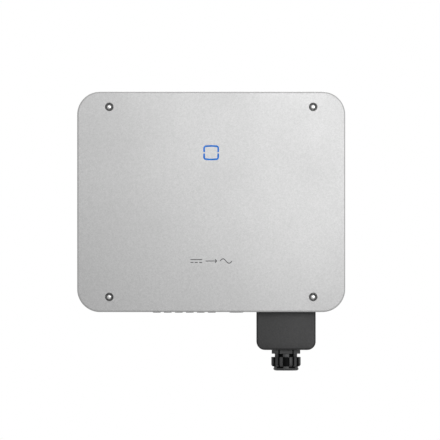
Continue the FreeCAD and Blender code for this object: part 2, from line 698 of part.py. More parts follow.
def hanging_ears():
    """Hooks on the back of the duct that drop into the rails, and the tabs for the locking screws."""
    def ear(ledge):
        plate = block(RAIL_X - 28, RAIL_X + 28, DUCT_BACK, DUCT_BACK + 2.5, ledge - 22, ledge + 38)
        neck = block(RAIL_X - 15, RAIL_X + 15, DUCT_BACK + 2.5, -18.5, ledge, ledge + 8)
        tongue = block(RAIL_X - 15, RAIL_X + 15, -18.5, -16, ledge - 20, ledge + 8)
        return union(plate, neck, tongue)
    foot = block(253, 272, DUCT_BACK, DUCT_BACK + 2, LOCK_Z - 12, LOCK_Z + 12)
    tab = block(250, 253, DUCT_BACK, -8, LOCK_Z - 12, LOCK_Z + 12)
    hole = rod_x(LOCK_Y, LOCK_Z, 3.0 + SLACK, 249, 254)
    lock = union(foot, tab).cut(hole)
    right = [ear(ledge) for ledge in EAR_Z] + [lock]
    return group(right + [mirrored_x(shape) for shape in right])


# ---- cable glands -------------------------------------------------------------------------------

AC_GLAND = {
    "at": (HOOD_X, GLAND_Y), "face": HOOD_BOTTOM, "thread": 31.0, "flats": 67.0, "hex": 10.6,
    "neck": 8.2, "nut": 35.6, "nut_radius": 38.7, "collar": 33.2, "seal": 26.0, "bore": 23.0,
    "mouth": 25.0, "ribs": True}
COM_GLAND = {
    "at": (66.0, -225.0), "face": BOX_BOTTOM, "thread": 16.0, "flats": 37.7, "hex": 6.0,
    "neck": 3.5, "nut": 23.0, "nut_radius": 21.7, "collar": 18.6, "seal": 12.0, "bore": 7.5,
    "mouth": 10.5, "ribs": False}
DONGLE_AT = (27.0, -186.0)
VENT_AT = (92.0, -186.0)


def gland_heights(g):
    """Z of the hexagon's lower face, the dome nut's top and its lower end."""
    hex_low = g["face"] - g["hex"]
    nut_top = hex_low - g["neck"]
    return hex_low, nut_top, nut_top - g["nut"]


def gland_body(g):
    """Hexagon with a thread above for the wall and a thread below for the dome nut."""
    x, y = g["at"]
    hex_low, nut_top, nut_low = gland_heights(g)
    upper = rod_z(x, y, g["thread"], g["face"], g["face"] + WALL + 10)
    flats = hexagon_z(x, y, g["flats"], hex_low, g["face"])
    lower = rod_z(x, y, g["thread"], nut_low + 0.45 * g["nut"], hex_low)
    bore = rod_z(x, y, g["seal"], nut_low, g["face"] + WALL + 11)
    return union(upper, flats, lower).cut(bore)


def gland_seal(g):
    """Rubber bush that the dome nut squeezes on to the cable."""
    x, y = g["at"]
    _, nut_top, nut_low = gland_heights(g)
    top, low = nut_top + 0.2 * g["nut"], nut_low + 0.45 * g["nut"]
    return rod_z(x, y, g["seal"] - 0.05, low, top).cut(rod_z(x, y, g["bore"], low - 1, top + 1))


def gland_slip_ring(g):
    """Washer between the seal and the dome nut, which goes down with the nut but doesn't turn."""
    x, y = g["at"]
    _, _, nut_low = gland_heights(g)
    top = nut_low + 0.45 * g["nut"] - 0.05
    outer = rod_z(x, y, g["thread"] - 1.5, top - 1.5, top)
    return outer.cut(rod_z(x, y, g["mouth"] + 1.0, top - 3, top + 1))


def gland_dome_nut(g):
    """Round nut with grip ribs, a narrower collar below and a mouth for the cable."""
    x, y = g["at"]
    _, top, low = gland_heights(g)
    outer, collar = g["nut_radius"], g["collar"]
    ring_seat = low + 0.45 * g["nut"] - 1.6
    shoulder = top - 0.6 * g["nut"]
    taper = 0.11 * g["nut"]
    base = 0.94 if g["ribs"] else 1.0
    body = turned(x, y, [
        (g["mouth"], ring_seat), (g["mouth"], low), (collar - 4, low), (collar, low + 4),
        (collar, shoulder - taper), (outer * base, shoulder), (outer * base, top),
        (g["thread"] + 0.1, top), (g["thread"] + 0.1, ring_seat)])
    if not g["ribs"]:
        hexagon = hexagon_z(x, y, 2 * outer * math.cos(math.pi / 6), low, top)
        return body.common(hexagon)
    ribs = []
    for k in range(6):
        for offset in (-10.5, 10.5):
            rib = block(outer * 0.85, outer, -3.6, 3.6, shoulder, top)
            rib.rotate(Vec(0, 0, 0), Vec(0, 0, 1), 60 * k + offset)
            rib.translate(Vec(x, y, 0))
            ribs.append(rib)
    return union(body, *ribs)


def gland_locknut(g):
    """Thin hexagonal nut inside the wall."""
    x, y = g["at"]
    low = g["face"] + WALL
    nut = hexagon_z(x, y, 2 * g["thread"] + 12, low, low + 7)
    return nut.cut(rod_z(x, y, g["thread"] + 0.05, low - 1, low + 8))


# ---- junction box -------------------------------------------------------------------------------

def hood_profile(inset, y0, y1, top):
    """Slab with the junction box's front outline, rounded at its two lower corners."""
    half, low, r = HOOD_HALF_W - inset, HOOD_BOTTOM + inset, HOOD_CORNER - inset
    x0, x1 = HOOD_X - half, HOOD_X + half
    slab = rounded_slab(x0, x1, low, low + 3 * r, r, y0, y1)
    return union(slab, block(x0, x1, y0, y1, low + r, top))


def ac_box_hood():
    """Hood, open at the top, with a flange that bolts up to the enclosure's floor."""
    outer = hood_profile(0, HOOD_FRONT, HOOD_BACK, HOOD_TOP)
    rim = [e for y in (HOOD_FRONT, HOOD_BACK) for e in edges_at_y(outer, y)
           if e.BoundBox.ZMin < HOOD_TOP - 1]
    outer = outer.makeFillet(HOOD_EDGE, rim)
    left, right = HOOD_X - HOOD_HALF_W - HOOD_FLANGE, HOOD_X + HOOD_HALF_W + HOOD_FLANGE
    flange = block(left, right, HOOD_FRONT + 10, HOOD_BACK, HOOD_TOP - 4, HOOD_TOP)
    hollow = hood_profile(WALL, HOOD_FRONT + WALL, HOOD_BACK - WALL, HOOD_TOP + 1)
    holes = [rod_z(x, y, 2.5 + SLACK, HOOD_TOP - 5, HOOD_TOP + 1) for x, y in hood_screw_places()]
    gland_hole = rod_z(*AC_GLAND["at"], AC_GLAND["thread"] + SLACK, HOOD_BOTTOM - 1, HOOD_BOTTOM + WALL + 1)
    return union(outer, flange).cut([hollow, gland_hole, *holes])


def ac_box_gasket():
    """Flat seal between the hood's flange and the enclosure."""
    left, right = HOOD_X - HOOD_HALF_W - HOOD_FLANGE, HOOD_X + HOOD_HALF_W + HOOD_FLANGE
    plate = block(left, right, HOOD_FRONT + 10, HOOD_BACK, HOOD_TOP, BOX_BOTTOM)
    opening = block(HOOD_X - 70, HOOD_X + 70, GLAND_Y - 36, GLAND_Y + 36, HOOD_TOP - 1, BOX_BOTTOM + 1)
    holes = [rod_z(x, y, 2.5 + SLACK, HOOD_TOP - 1, BOX_BOTTOM + 1) for x, y in hood_screw_places()]
    return plate.cut([opening, *holes])


def ac_box_screws():
    """Captive screws in the hood's flange."""
    def screw(x, y):
        head = rod_z(x, y, 4.4, HOOD_TOP - 8, HOOD_TOP - 4)
        shank = rod_z(x, y, 2.5, HOOD_TOP - 4, BOX_BOTTOM + WALL + 4)
        socket = hexagon_z(x, y, 4.0, HOOD_TOP - 9, HOOD_TOP - 6)
        return union(head, shank).cut(socket)
    return group(screw(x, y) for x, y in hood_screw_places())


def pole_places():
    """The X of each mains terminal."""
    return [HOOD_X + POLE_PITCH * (k - (POLES - 1) / 2) for k in range(POLES)]


def ac_terminal_block():
    """Moulded block with a barrier between neighbouring terminals."""
    x0, x1 = HOOD_X - 61.5, HOOD_X + 61.5
    back = BLOCK_FACE + 12
    base = block(x0, x1, GLAND_Y - 25.5, GLAND_Y + 25.5, BOX_BOTTOM - 12, BOX_BOTTOM + 9)
    plate = block(HOOD_X - 69, HOOD_X + 69, BLOCK_FACE, back, STUD_Z - 22, BOX_BOTTOM - 12)
    flange = block(HOOD_X - 68, HOOD_X + 68, GLAND_Y - 32, GLAND_Y + 32,
                   BOX_BOTTOM + WALL, BOX_BOTTOM + WALL + 4)
    fences = []
    for k in range(POLES + 1):
        x = HOOD_X + POLE_PITCH * (k - POLES / 2)
        fences.append(block(x - 1.25, x + 1.25, BLOCK_FACE - 22, BLOCK_FACE, STUD_Z - 22, BOX_BOTTOM - 12))
    slots = [block(x - 8.1, x + 8.1, BLOCK_FACE - 3.1, BLOCK_FACE, BOX_BOTTOM - 13, BOX_BOTTOM + 10)
             for x in pole_places()]
    holes = [rod_y(x, STUD_Z, STUD_RADIUS + 0.05, BLOCK_FACE - 1, back + 1) for x in pole_places()]
    return union(base, flange, plate, *fences).cut([*slots, *holes])


def ac_terminal_studs():
    """Threaded studs, each with a washer and a nut."""
    def stud(x):
        plate = BLOCK_FACE - 3.0
        shank = rod_y(x, STUD_Z, STUD_RADIUS, STUD_END, BLOCK_FACE + 10)
        washer = rod_y(x, STUD_Z, 8.0, plate - 1.6, plate)
        nut = hexagon_y(x, STUD_Z, 13.0, plate - 8.1, plate - 1.6)
        return union(shank, washer, nut)
    return group(stud(x) for x in pole_places())


def copper_busbars():
    """Bars from the mains terminals and the input board to the power board, and the isolator's links."""
    rear = POWER_BOARD_Y - BOARD
    deck = INPUT_BOARD_Z + BOARD

    def mains_bar(x):
        upright = block(x - 8, x + 8, BLOCK_FACE - 3, BLOCK_FACE, STUD_Z - 12, BOARD_BOTTOM + 10)
        back = block(x - 8, x + 8, BLOCK_FACE, rear, BOARD_BOTTOM + 7, BOARD_BOTTOM + 10)
        hole = rod_y(x, STUD_Z, STUD_RADIUS + 0.05, BLOCK_FACE - 4, BLOCK_FACE + 1)
        return union(upright, back).cut(hole)

    mains = [mains_bar(x) for x in pole_places()]
    solar = [block(x - 6, x + 6, rear - 3, rear, deck, BOARD_BOTTOM + 14) for x in (-70, -30)]
    links = [block(KNOB_X + 38, -168, y - 3, y + 3, deck, deck + 1.5) for y in (-230, -217, -203, -190)]
    return group(mains + solar + links)


# ---- plug connectors and small fittings ---------------------------------------------------------

def dc_negative_sockets():
    """Panel sockets of the front row, each with a smooth bore and two latch recesses."""
    def socket(x):
        low, seat = PLUG_END, PLUG_END + SOCKET_DEPTH
        flange = rod_z(x, SOCKET_Y, PLUG_FLANGE, BOX_BOTTOM - 3, BOX_BOTTOM)
        barrel = rod_z(x, SOCKET_Y, SOCKET_RADIUS, low, BOX_BOTTOM - 3)
        thread = rod_z(x, SOCKET_Y, PLUG_THREAD, BOX_BOTTOM, BOX_BOTTOM + 12)
        bore = rod_z(x, SOCKET_Y, SOCKET_BORE, low - 1, seat)
        step = rod_z(x, SOCKET_Y, SOCKET_BORE - 1.2, seat - 1, seat + 7)
        core = rod_z(x, SOCKET_Y, CONTACT + 0.05, seat, BOX_BOTTOM + 13)
        latches = [block(x + s * LATCH_X - 0.9, x + s * LATCH_X + 0.9, SOCKET_Y - 2.5, SOCKET_Y + 2.5,
                         low + 8, low + 16) for s in (-1, 1)]
        return union(flange, barrel, thread).cut([bore, step, core, *latches])
    return group(socket(x) for x in plug_columns())


def dc_positive_noses():
    """Panel plugs of the rear row, each a slender nose on a shoulder."""
    def nose(x):
        flange = rod_z(x, NOSE_Y, PLUG_FLANGE, BOX_BOTTOM - 3, BOX_BOTTOM)
        shoulder = rod_z(x, NOSE_Y, SOCKET_RADIUS, BOX_BOTTOM - 7, BOX_BOTTOM - 3)
        tip = rod_z(x, NOSE_Y, NOSE_RADIUS, PLUG_END, BOX_BOTTOM - 7)
        thread = rod_z(x, NOSE_Y, PLUG_THREAD, BOX_BOTTOM, BOX_BOTTOM + 12)
        core = rod_z(x, NOSE_Y, CONTACT + 0.05, PLUG_END - 1, BOX_BOTTOM + 13)
        return union(flange, shoulder, tip, thread).cut(core)
    return group(nose(x) for x in plug_columns())


def dc_contacts():
    """Contact pins of both rows, soldered into the input board."""
    end = INPUT_BOARD_Z + 4
    sockets = [rod_z(x, SOCKET_Y, CONTACT, PLUG_END + SOCKET_DEPTH + 1, end) for x in plug_columns()]
    noses = [rod_z(x, NOSE_Y, CONTACT, PLUG_END + 2, end) for x in plug_columns()]
    return group([*sockets, *noses])


def panel_nuts():
    """Nuts inside the enclosure's floor for the plugs and the communication gland."""
    low = BOX_BOTTOM + WALL

    def nut(x, y):
        return hexagon_z(x, y, 20.0, low, low + 6).cut(rod_z(x, y, PLUG_THREAD + 0.05, low - 1, low + 7))
    nuts = [nut(x, y) for x in plug_columns() for y in (SOCKET_Y, NOSE_Y)]
    return group([*nuts, gland_locknut(COM_GLAND)])


def dongle_port():
    """Round port for a radio stick, closed by a ribbed cap."""
    x, y = DONGLE_AT
    z = BOX_BOTTOM
    flange = rod_z(x, y, 13.0, z - 3, z)
    collar = rod_z(x, y, 9.5, z - 16, z - 3)
    thread = rod_z(x, y, 8.0, z, z + 12)
    hollow = rod_z(x, y, 7.0, z - 17, z - 6)
    port = union(flange, collar, thread).cut(hollow)
    cap = rod_z(x, y, 12.0, z - 22, z - 4).cut(rod_z(x, y, 9.6, z - 18, z))
    grooves = []
    for k in range(16):
        a = math.radians(22.5 * k)
        grooves.append(rod_z(x + 12.3 * math.cos(a), y + 12.3 * math.sin(a), 1.2, z - 23, z - 3))
    return group([port, cap.cut(grooves)])


def pressure_vent():
    """Breather plug that evens out the pressure in the enclosure."""
    x, y = VENT_AT
    z = BOX_BOTTOM
    cap = turned(x, y, [(0, z - 7), (7, z - 7), (9, z - 5), (9, z), (0, z)])
    notches = []
    for k in range(6):
        notch = block(6.5, 10, -1, 1, z - 3, z - 1)
        notch.rotate(Vec(0, 0, 0), Vec(0, 0, 1), 60 * k)
        notch.translate(Vec(x, y, 0))
        notches.append(notch)
    return union(cap, rod_z(x, y, 6.0, z, z + 9)).cut(notches)


# ---- isolator -----------------------------------------------------------------------------------

def dc_switch_body():
    """Rotary isolator inside the enclosure, with a terminal row on each side."""
    low = BOX_BOTTOM + WALL
    body = block(KNOB_X - 28, KNOB_X + 28, KNOB_Y - 28, KNOB_Y + 28, low, low + 60)
    rows = [block(KNOB_X + s * 33 - 5, KNOB_X + s * 33 + 5, KNOB_Y - 24, KNOB_Y + 24, low + 8, low + 50)
            for s in (-1, 1)]
    well = rod_z(KNOB_X, KNOB_Y, SHAFT + 1.0, low - 1, low + 20)
    return union(body, *rows).cut(well)


def dc_switch_bezel():
    """Square plate round the isolator's shaft."""
    z = BOX_BOTTOM
    plate = block(KNOB_X - 31, KNOB_X + 31, KNOB_Y - 31, KNOB_Y + 31, z - 3, z)
    upright = [e for e in plate.Edges if e.BoundBox.ZLength > 2.9]
    plate = plate.makeFillet(6, upright)
    return plate.cut(rod_z(KNOB_X, KNOB_Y, SHAFT + 1.0, z - 4, z + 1))


def dc_switch_knob():
    """Knob with a grip bar, a padlock hole and its shaft; it turns a quarter turn."""
    top = BOX_BOTTOM - 3.4
    disc = rod_z(KNOB_X, KNOB_Y, KNOB_RADIUS, top - 6, top)
    grip = block(KNOB_X - 7, KNOB_X + 7, KNOB_Y - 22, KNOB_Y + 22, KNOB_END, top - 6)
    grip = grip.makeFillet(3, [e for e in grip.Edges if e.BoundBox.ZLength > 10])
    shaft = rod_z(KNOB_X, KNOB_Y, SHAFT, top, BOX_BOTTOM + WALL + 18)
    padlock = rod_x(KNOB_Y - 13, KNOB_END + 8, 3.5, KNOB_X - 8, KNOB_X + 8)
    return union(disc, grip, shaft).cut(padlock)


# ---- electronics --------------------------------------------------------------------------------

def power_modules():
    """Semiconductor modules, pressed on the heat sink's base through the window."""
    y0, y1 = POWER_BOARD_Y, BOX_BACK + SINK_GASKET
    places = [(-165, 90), (-55, 90), (55, 90), (165, 90), (-110, -60), (0, -60), (110, -60)]
    modules = []
    for x, z in places:
        case = block(x - 31, x + 31, y1 - 17, y1, z - 50, z + 50)
        pins = [block(x + dx - 1, x + dx + 1, y0, y1 - 17, z + dz - 1, z + dz + 1)
                for dx in (-25, 25) for dz in (-40, -20, 0, 20, 40)]
        modules.append(union(case, *pins))
    return group(modules)


def power_board():
    """Main board on ten pillars, in front of the power modules."""
    board = block(-262, 262, POWER_BOARD_Y - BOARD, POWER_BOARD_Y, BOARD_BOTTOM, 190)
    wall = BOX_BACK - WALL
    pillars = [rod_y(x, -142 + 81 * k, 4.0, POWER_BOARD_Y, wall) for x in (-248, 248)
               for k in range(5)]
    return union(board, *pillars)


def dc_link_capacitors():
    """Two rows of upright cans on the power board."""
    face = POWER_BOARD_Y - BOARD
    return group(rod_y(-192 + 48 * k, z, 17.5, face - 50, face) for k in range(9) for z in (-20, 20))


def grid_relays():
    """Six relays in the lower right of the power board."""
    face = POWER_BOARD_Y - BOARD
    return group(block(96 + 46 * k, 130 + 46 * k, face - 30, face, -110 + 34 * n, -84 + 34 * n)
                 for k in range(3) for n in range(2))


def filter_inductors():
    """Potted inductors along the top of the enclosure, and two ring chokes on the power board."""
    back = BOX_BACK - WALL
    potted = [block(x - 40, x + 40, back - 72, back, 194, 254) for x in
              (-222, -133, -44, 44, 133, 222)]
    face = POWER_BOARD_Y - BOARD
    rings = [rod_y(x, -98, 30, face - 26, face).cut(rod_y(x, -98, 14, face - 27, face + 1))
             for x in (-190, -115)]
    return group(potted + rings)


def control_board():
    """Logic board on four tall pillars, with its chips."""
    y = CONTROL_BOARD_Y
    board = block(-110, 110, y, y + 1.6, 60, 180)
    pillars = [rod_y(x, 120 + z, 3.0, y + 1.6, POWER_BOARD_Y - BOARD) for x, z in corners(104, 54)]
    chips = [block(x - s, x + s, y - 2, y, z - s, z + s)
             for x, z, s in ((-30, 130, 13), (40, 140, 9), (60, 95, 7), (-75, 90, 8))]
    plugs = [block(x - 16, x + 16, y - 9, y, 168, 176) for x in (-70, 0, 70)]
    return union(board, *pillars, *chips, *plugs)


def dc_input_board():
    """Board on four feet above the plug connectors, with string fuses and surge arresters."""
    z = INPUT_BOARD_Z
    board = block(-172, 30, -254, -160, z, z + BOARD)
    board = board.cut([rod_z(x, y, CONTACT + 0.05, z - 1, z + 3)
                       for x in plug_columns() for y in (SOCKET_Y, NOSE_Y)])
    feet = [rod_z(x, y, 3.5, BOX_BOTTOM + WALL, z) for x in (-166, 24) for y in (-249, -165)]
    fuses = [block(x - 6, x + 6, -222, -196, z + BOARD, z + BOARD + 14) for x in plug_columns()]
    arresters = [block(-166 + 22 * k, -148 + 22 * k, -181, -162, z + BOARD, z + BOARD + 38)
                 for k in range(3)]
    return union(board, *feet, *fuses, *arresters)


# ---- all the nodes ------------------------------------------------------------------------------

def nodes():
    """Every piece by its node name."""
    made = {
        "front_cover": front_cover(),
        "cover_screw_cups": cover_screw_cups(),
        "cover_screws": cover_screws(),
        "cover_standoffs": cover_standoffs(),
        "status_light_lens": status_light_lens(),
        "indicator_board": indicator_board(),
        "enclosure_tub": enclosure_tub(),
        "enclosure_lid": enclosure_lid(),
        "enclosure_lid_gasket": enclosure_lid_gasket(),
        "enclosure_lid_screws": enclosure_lid_screws(),
        "side_handles": side_handles(),
        "earth_terminal": earth_terminal(),
        "heat_sink": heat_sink(),
        "heat_sink_gasket": heat_sink_gasket(),
        "duct_shroud": duct_shroud(),
        "back_wall_screws": back_wall_screws(),
        "exhaust_grille": exhaust_grille(),
        "fan_tray_plate": fan_tray_plate(),
        "fan_tray_screws": fan_tray_screws(),
        "fan_frames": fan_frames(),
        "fan_guards": fan_guards(),
        "bracket_rail_left": bracket_rail(-1),
        "bracket_rail_right": bracket_rail(1),
        "bracket_crossbars": bracket_crossbars(),
        "bracket_bolts": bracket_bolts(),
        "hanging_ears": hanging_ears(),
        "ac_box_hood": ac_box_hood(),
        "ac_box_gasket": ac_box_gasket(),
        "ac_box_screws": ac_box_screws(),
        "ac_gland_locknut": gland_locknut(AC_GLAND),
        "ac_terminal_block": ac_terminal_block(),
        "ac_terminal_studs": ac_terminal_studs(),
        "copper_busbars": copper_busbars(),
        "dc_negative_sockets": dc_negative_sockets(),
        "dc_positive_noses": dc_positive_noses(),
        "dc_contacts": dc_contacts(),
        "panel_nuts": panel_nuts(),
        "dongle_port": dongle_port(),
        "pressure_vent": pressure_vent(),
        "dc_switch_body": dc_switch_body(),
        "dc_switch_bezel": dc_switch_bezel(),
        "dc_switch_knob": dc_switch_knob(),
        "power_modules": power_modules(),
        "power_board": power_board(),
        "dc_link_capacitors": dc_link_capacitors(),
        "grid_relays": grid_relays(),
        "filter_inductors": filter_inductors(),
        "control_board": control_board(),
        "dc_input_board": dc_input_board(),
    }
    for place, x in zip(("left", "middle", "right"), FAN_X):
        made[f"fan_rotor_{place}"] = fan_rotor(x)
    for prefix, gland in (("ac", AC_GLAND), ("com", COM_GLAND)):
        made[f"{prefix}_gland_body"] = gland_body(gland)
        made[f"{prefix}_gland_seal"] = gland_seal(gland)
        made[f"{prefix}_gland_slip_ring"] = gland_slip_ring(gland)
        made[f"{prefix}_gland_dome_nut"] = gland_dome_nut(gland)
    return made


def main():
    os.makedirs("parts", exist_ok=True)
    for name, shape in nodes().items():
        solids = shape.Solids
        if not solids or not all(s.isValid() and s.Volume > 0 for s in solids):
            raise ValueError(f"{name} isn't a sound set of solids")
        shape.exportStep(f"parts/{name}.step")
        print(f"{name}: {len(solids)} solids, {sum(s.Volume for s in solids) / 1000:.1f} cm3")


main()
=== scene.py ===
"""Wall-hung string inverter: its visible pieces, their finishes and a plain studio, round the CAD frame.

Run as a script. Each piece has an operator, and their sizes and colours are in the property groups.
Shapes are worked out in millimetres, in the CAD frame: +Z up, the wall at Y = 0, the front towards -Y.
"""

import json
import math

import bmesh
import bpy
import numpy as np
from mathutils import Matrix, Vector, geometry

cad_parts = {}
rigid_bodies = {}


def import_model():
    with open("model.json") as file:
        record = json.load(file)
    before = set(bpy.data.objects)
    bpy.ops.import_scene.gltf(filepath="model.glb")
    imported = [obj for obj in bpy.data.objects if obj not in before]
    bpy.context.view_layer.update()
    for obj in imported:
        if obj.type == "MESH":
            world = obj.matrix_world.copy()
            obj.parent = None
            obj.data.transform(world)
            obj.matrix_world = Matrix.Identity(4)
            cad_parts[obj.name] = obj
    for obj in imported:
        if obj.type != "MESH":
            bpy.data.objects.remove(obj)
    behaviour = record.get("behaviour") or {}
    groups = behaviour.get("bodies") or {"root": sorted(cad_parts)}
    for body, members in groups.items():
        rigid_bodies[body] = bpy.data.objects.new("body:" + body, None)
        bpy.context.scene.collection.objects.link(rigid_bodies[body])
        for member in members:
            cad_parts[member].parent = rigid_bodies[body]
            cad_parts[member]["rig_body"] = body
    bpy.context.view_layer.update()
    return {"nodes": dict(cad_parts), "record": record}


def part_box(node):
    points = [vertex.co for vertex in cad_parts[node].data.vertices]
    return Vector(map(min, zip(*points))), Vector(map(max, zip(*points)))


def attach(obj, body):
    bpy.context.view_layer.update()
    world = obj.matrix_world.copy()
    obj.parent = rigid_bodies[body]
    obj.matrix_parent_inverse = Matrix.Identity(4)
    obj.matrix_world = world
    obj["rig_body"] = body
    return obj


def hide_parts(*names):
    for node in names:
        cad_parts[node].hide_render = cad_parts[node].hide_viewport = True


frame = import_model()

bl_info = {
    "name": "String inverter",
    "version": (1, 0, 0),
    "blender": (4, 5, 0),
    "location": "View3D > Sidebar > Inverter",
    "description": "Builds the visible pieces of a wall-hung string inverter",
    "category": "Object",
}

MM = 0.001
TAU = 2 * math.pi

UNDERSIDE = -258.0  # level of the enclosure's underside
SIDE_WALL = 310.0   # the enclosure's side walls, from the middle


# ---- shapes ---------------------------------------------------------------------------------------

class Shape:
    """Points in millimetres and faces as arrays of point numbers, one array for each number of corners."""

    def __init__(self, points, faces, shade=None):
        self.points = np.asarray(points, float).reshape(-1, 3)
        self.faces = [np.asarray(f, int) for f in faces if len(f)]
        # shade: each point's painted shade, 0 to 1, which the moulded finish darkens by
        self.shade = np.zeros(len(self.points)) if shade is None else np.asarray(shade, float).ravel()

    def moved(self, x=0.0, y=0.0, z=0.0):
        return Shape(self.points + (x, y, z), self.faces, self.shade)

    def turned(self, axis, degrees):
        """Turned about the X, Y or Z axis, by the right-hand rule."""
        c, s = math.cos(math.radians(degrees)), math.sin(math.radians(degrees))
        a, b = {"X": (1, 2), "Y": (2, 0), "Z": (0, 1)}[axis]
        points = self.points.copy()
        points[:, a] = c * self.points[:, a] - s * self.points[:, b]
        points[:, b] = s * self.points[:, a] + c * self.points[:, b]
        return Shape(points, self.faces, self.shade)

    def mirrored(self):
        """Mirror image on the other side of X = 0."""
        return Shape(self.points * (-1, 1, 1), self.faces, self.shade)


def joined(shapes):
    """Several shapes as one."""
    shapes = list(shapes)
    starts = np.cumsum([0] + [len(s.points) for s in shapes])
    faces = [f + start for s, start in zip(shapes, starts) for f in s.faces]
    return Shape(np.concatenate([s.points for s in shapes]), faces,
                 np.concatenate([s.shade for s in shapes]))


def repeated(shape, places):
    """The shape at each (x, y, z) place."""
    return joined(shape.moved(*place) for place in places)


def grid(points, along=False, caps=True, shade=None):
    """Surface over an array of points (rows, columns, 3): each square of neighbours is a face.

    Each row closes on itself. along closes the last row on the first, and caps otherwise fill the first and
    last rows with one face each.
    """
    rows, columns = points.shape[:2]
    i = np.arange(rows if along else rows - 1)[:, None]
    j = np.arange(columns)[None, :]
    here, there = i * columns, (i + 1) % rows * columns
    right = (j + 1) % columns
    quads = np.stack([here + j, here + right, there + right, there + j], -1).reshape(-1, 4)
    faces = [quads]
    if caps and not along:
        ring = np.arange(columns)
        faces += [ring[None, ::-1], ring[None, :] + (rows - 1) * columns]
    return Shape(points, faces, shade)


def lathe(radii, heights, segments=48, hollow=False, shade=None, caps=True):
    """Surface of revolution about Z, whose points are at radius(row, angle) and height(row, angle).

    A hollow one closes its last row on its first, and another gets a flat cap at each end.
    """
    radii, heights = np.asarray(radii, float), np.asarray(heights, float)
    radii = radii[:, None] if radii.ndim == 1 else radii
    heights = heights[:, None] if heights.ndim == 1 else heights
    r, h, a = np.broadcast_arrays(radii, heights, angles(segments)[None, :])
    if shade is not None:
        shade = np.broadcast_to(np.asarray(shade, float).reshape(len(r), -1), r.shape)
    points = np.stack([r * np.cos(a), r * np.sin(a), h], -1)
    return grid(points, along=hollow, shade=shade, caps=caps)


def patterned_lathe(rows, waves, segments, hollow=False):
    """Surface of revolution from (radius, height, pattern) rows: waves[pattern] is added to the radius."""
    radii = np.array([r + waves.get(kind, 0.0) + np.zeros(segments) for r, _, kind in rows])
    return lathe(radii, [h for _, h, _ in rows], segments, hollow=hollow)


def angles(segments):
    """Evenly spaced angles of a full turn."""
    return np.arange(segments) * TAU / segments


def profile(*corners):
    """(radii, heights) from (radius, height) corners."""
    points = np.array(corners, float)
    return points[:, 0], points[:, 1]


def hexagon(flats, segments):
    """Hexagon's radius at each angle: half its width across flats / cos(angle from the middle of a flat)."""
    from_flat = angles(segments) % (TAU / 6) - TAU / 12
    return flats / 2 / np.cos(from_flat)


def hex_head(flats, low, high, bore=0.0):
    """Hexagon between two heights: its radius is cut back by a 30 degree cone at both ends."""
    segments, slope = 48, math.tan(math.radians(30))
    face = hexagon(flats, segments)
    corner = flats / math.sqrt(3)
    tip = flats / 2 * 0.93
    rise = np.linspace(0, (corner - tip) * slope, 5)
    cone = tip + rise / slope
    top = np.minimum(face, cone[::-1, None])
    heights = np.concatenate([low + rise, high - rise[::-1]])
    radii = np.concatenate([top[::-1], top])
    if bore:
        inner = np.full((2, segments), float(bore))
        return lathe(np.concatenate([radii, inner]), np.concatenate([heights, (high, low)]),
                     segments, hollow=True)
    return lathe(radii, heights, segments)


def threaded(radius, low, high, pitch, segments, depth):
    """Helical thread: the radius falls by depth x a triangle wave of (height - pitch x turn) / pitch."""
    rows_per_turn = 4
    rows = max(3, int((high - low) / pitch * rows_per_turn))
    heights = np.linspace(low, high, rows)
    phase = (heights[:, None] / pitch - angles(segments)[None, :] / TAU) % 1.0
    wave = np.abs(phase * 2 - 1)
    fade = np.clip(np.minimum(heights - low, high - heights) / pitch, 0, 1)[:, None]
    return radius - depth * (1 - fade * wave), heights


def rectangle(x0, x1, z0, z1, radius, steps=12):
    """Outline of a rectangle with round corners, anticlockwise: a quarter circle of points at each corner."""
    quarter = np.linspace(0, TAU / 4, steps + 1)
    a = (quarter[None, :] + np.arange(4)[:, None] * TAU / 4)
    cx = np.array([x1 - radius, x0 + radius, x0 + radius, x1 - radius])[:, None]
    cz = np.array([z1 - radius, z1 - radius, z0 + radius, z0 + radius])[:, None]
    return np.stack([cx + radius * np.cos(a), cz + radius * np.sin(a)], -1).reshape(-1, 2)


def stack(rows, steps=12, upright=True, along=False, caps=True):
    """Rounded rectangles (x0, x1, z0, z1, radius, level), joined one to the next, at levels along Y or Z."""
    rings = np.stack([rectangle(*row[:5], steps=steps) for row in rows])
    level = np.array([row[5] for row in rows])[:, None, None] + np.zeros_like(rings[..., :1])
    order = [rings[..., :1], level, rings[..., 1:]] if upright else [rings, level]
    return grid(np.concatenate(order, -1), along=along, caps=caps)


def rounded_slab(x0, x1, z0, z1, radius, y0, y1, edge=0.5, steps=8, upright=True):
    """Plate whose outline shrinks by edge x (1 - sin) at each face as it rounds over by edge x (1 - cos)."""
    a = np.linspace(0, TAU / 4, 4)
    inset = np.concatenate([[edge + 0.3], edge * (1 - np.sin(a)), edge * (1 - np.sin(a[::-1])), [edge + 0.3]])
    level = np.concatenate([[y0], y0 + edge * (1 - np.cos(a)), y1 - edge * (1 - np.cos(a[::-1])), [y1]])
    rows = [(x0 + i, x1 - i, z0 + i, z1 - i, max(radius - i, 0.05), y) for i, y in zip(inset, level)]
    return stack(rows, steps, upright)


def inside(points, loop):
    """Whether each point lies in a closed outline, by counting the edges to its right."""
    x, z = points[:, 0][:, None], points[:, 1][:, None]
    ax, az = loop[:, 0][None, :], loop[:, 1][None, :]
    bx, bz = np.roll(loop[:, 0], -1)[None, :], np.roll(loop[:, 1], -1)[None, :]
    spans = (az > z) != (bz > z)
    crossing = ax + (z - az) * (bx - ax) / np.where(bz == az, 1e-12, bz - az)
    return (spans & (x < crossing)).sum(1) % 2 == 1


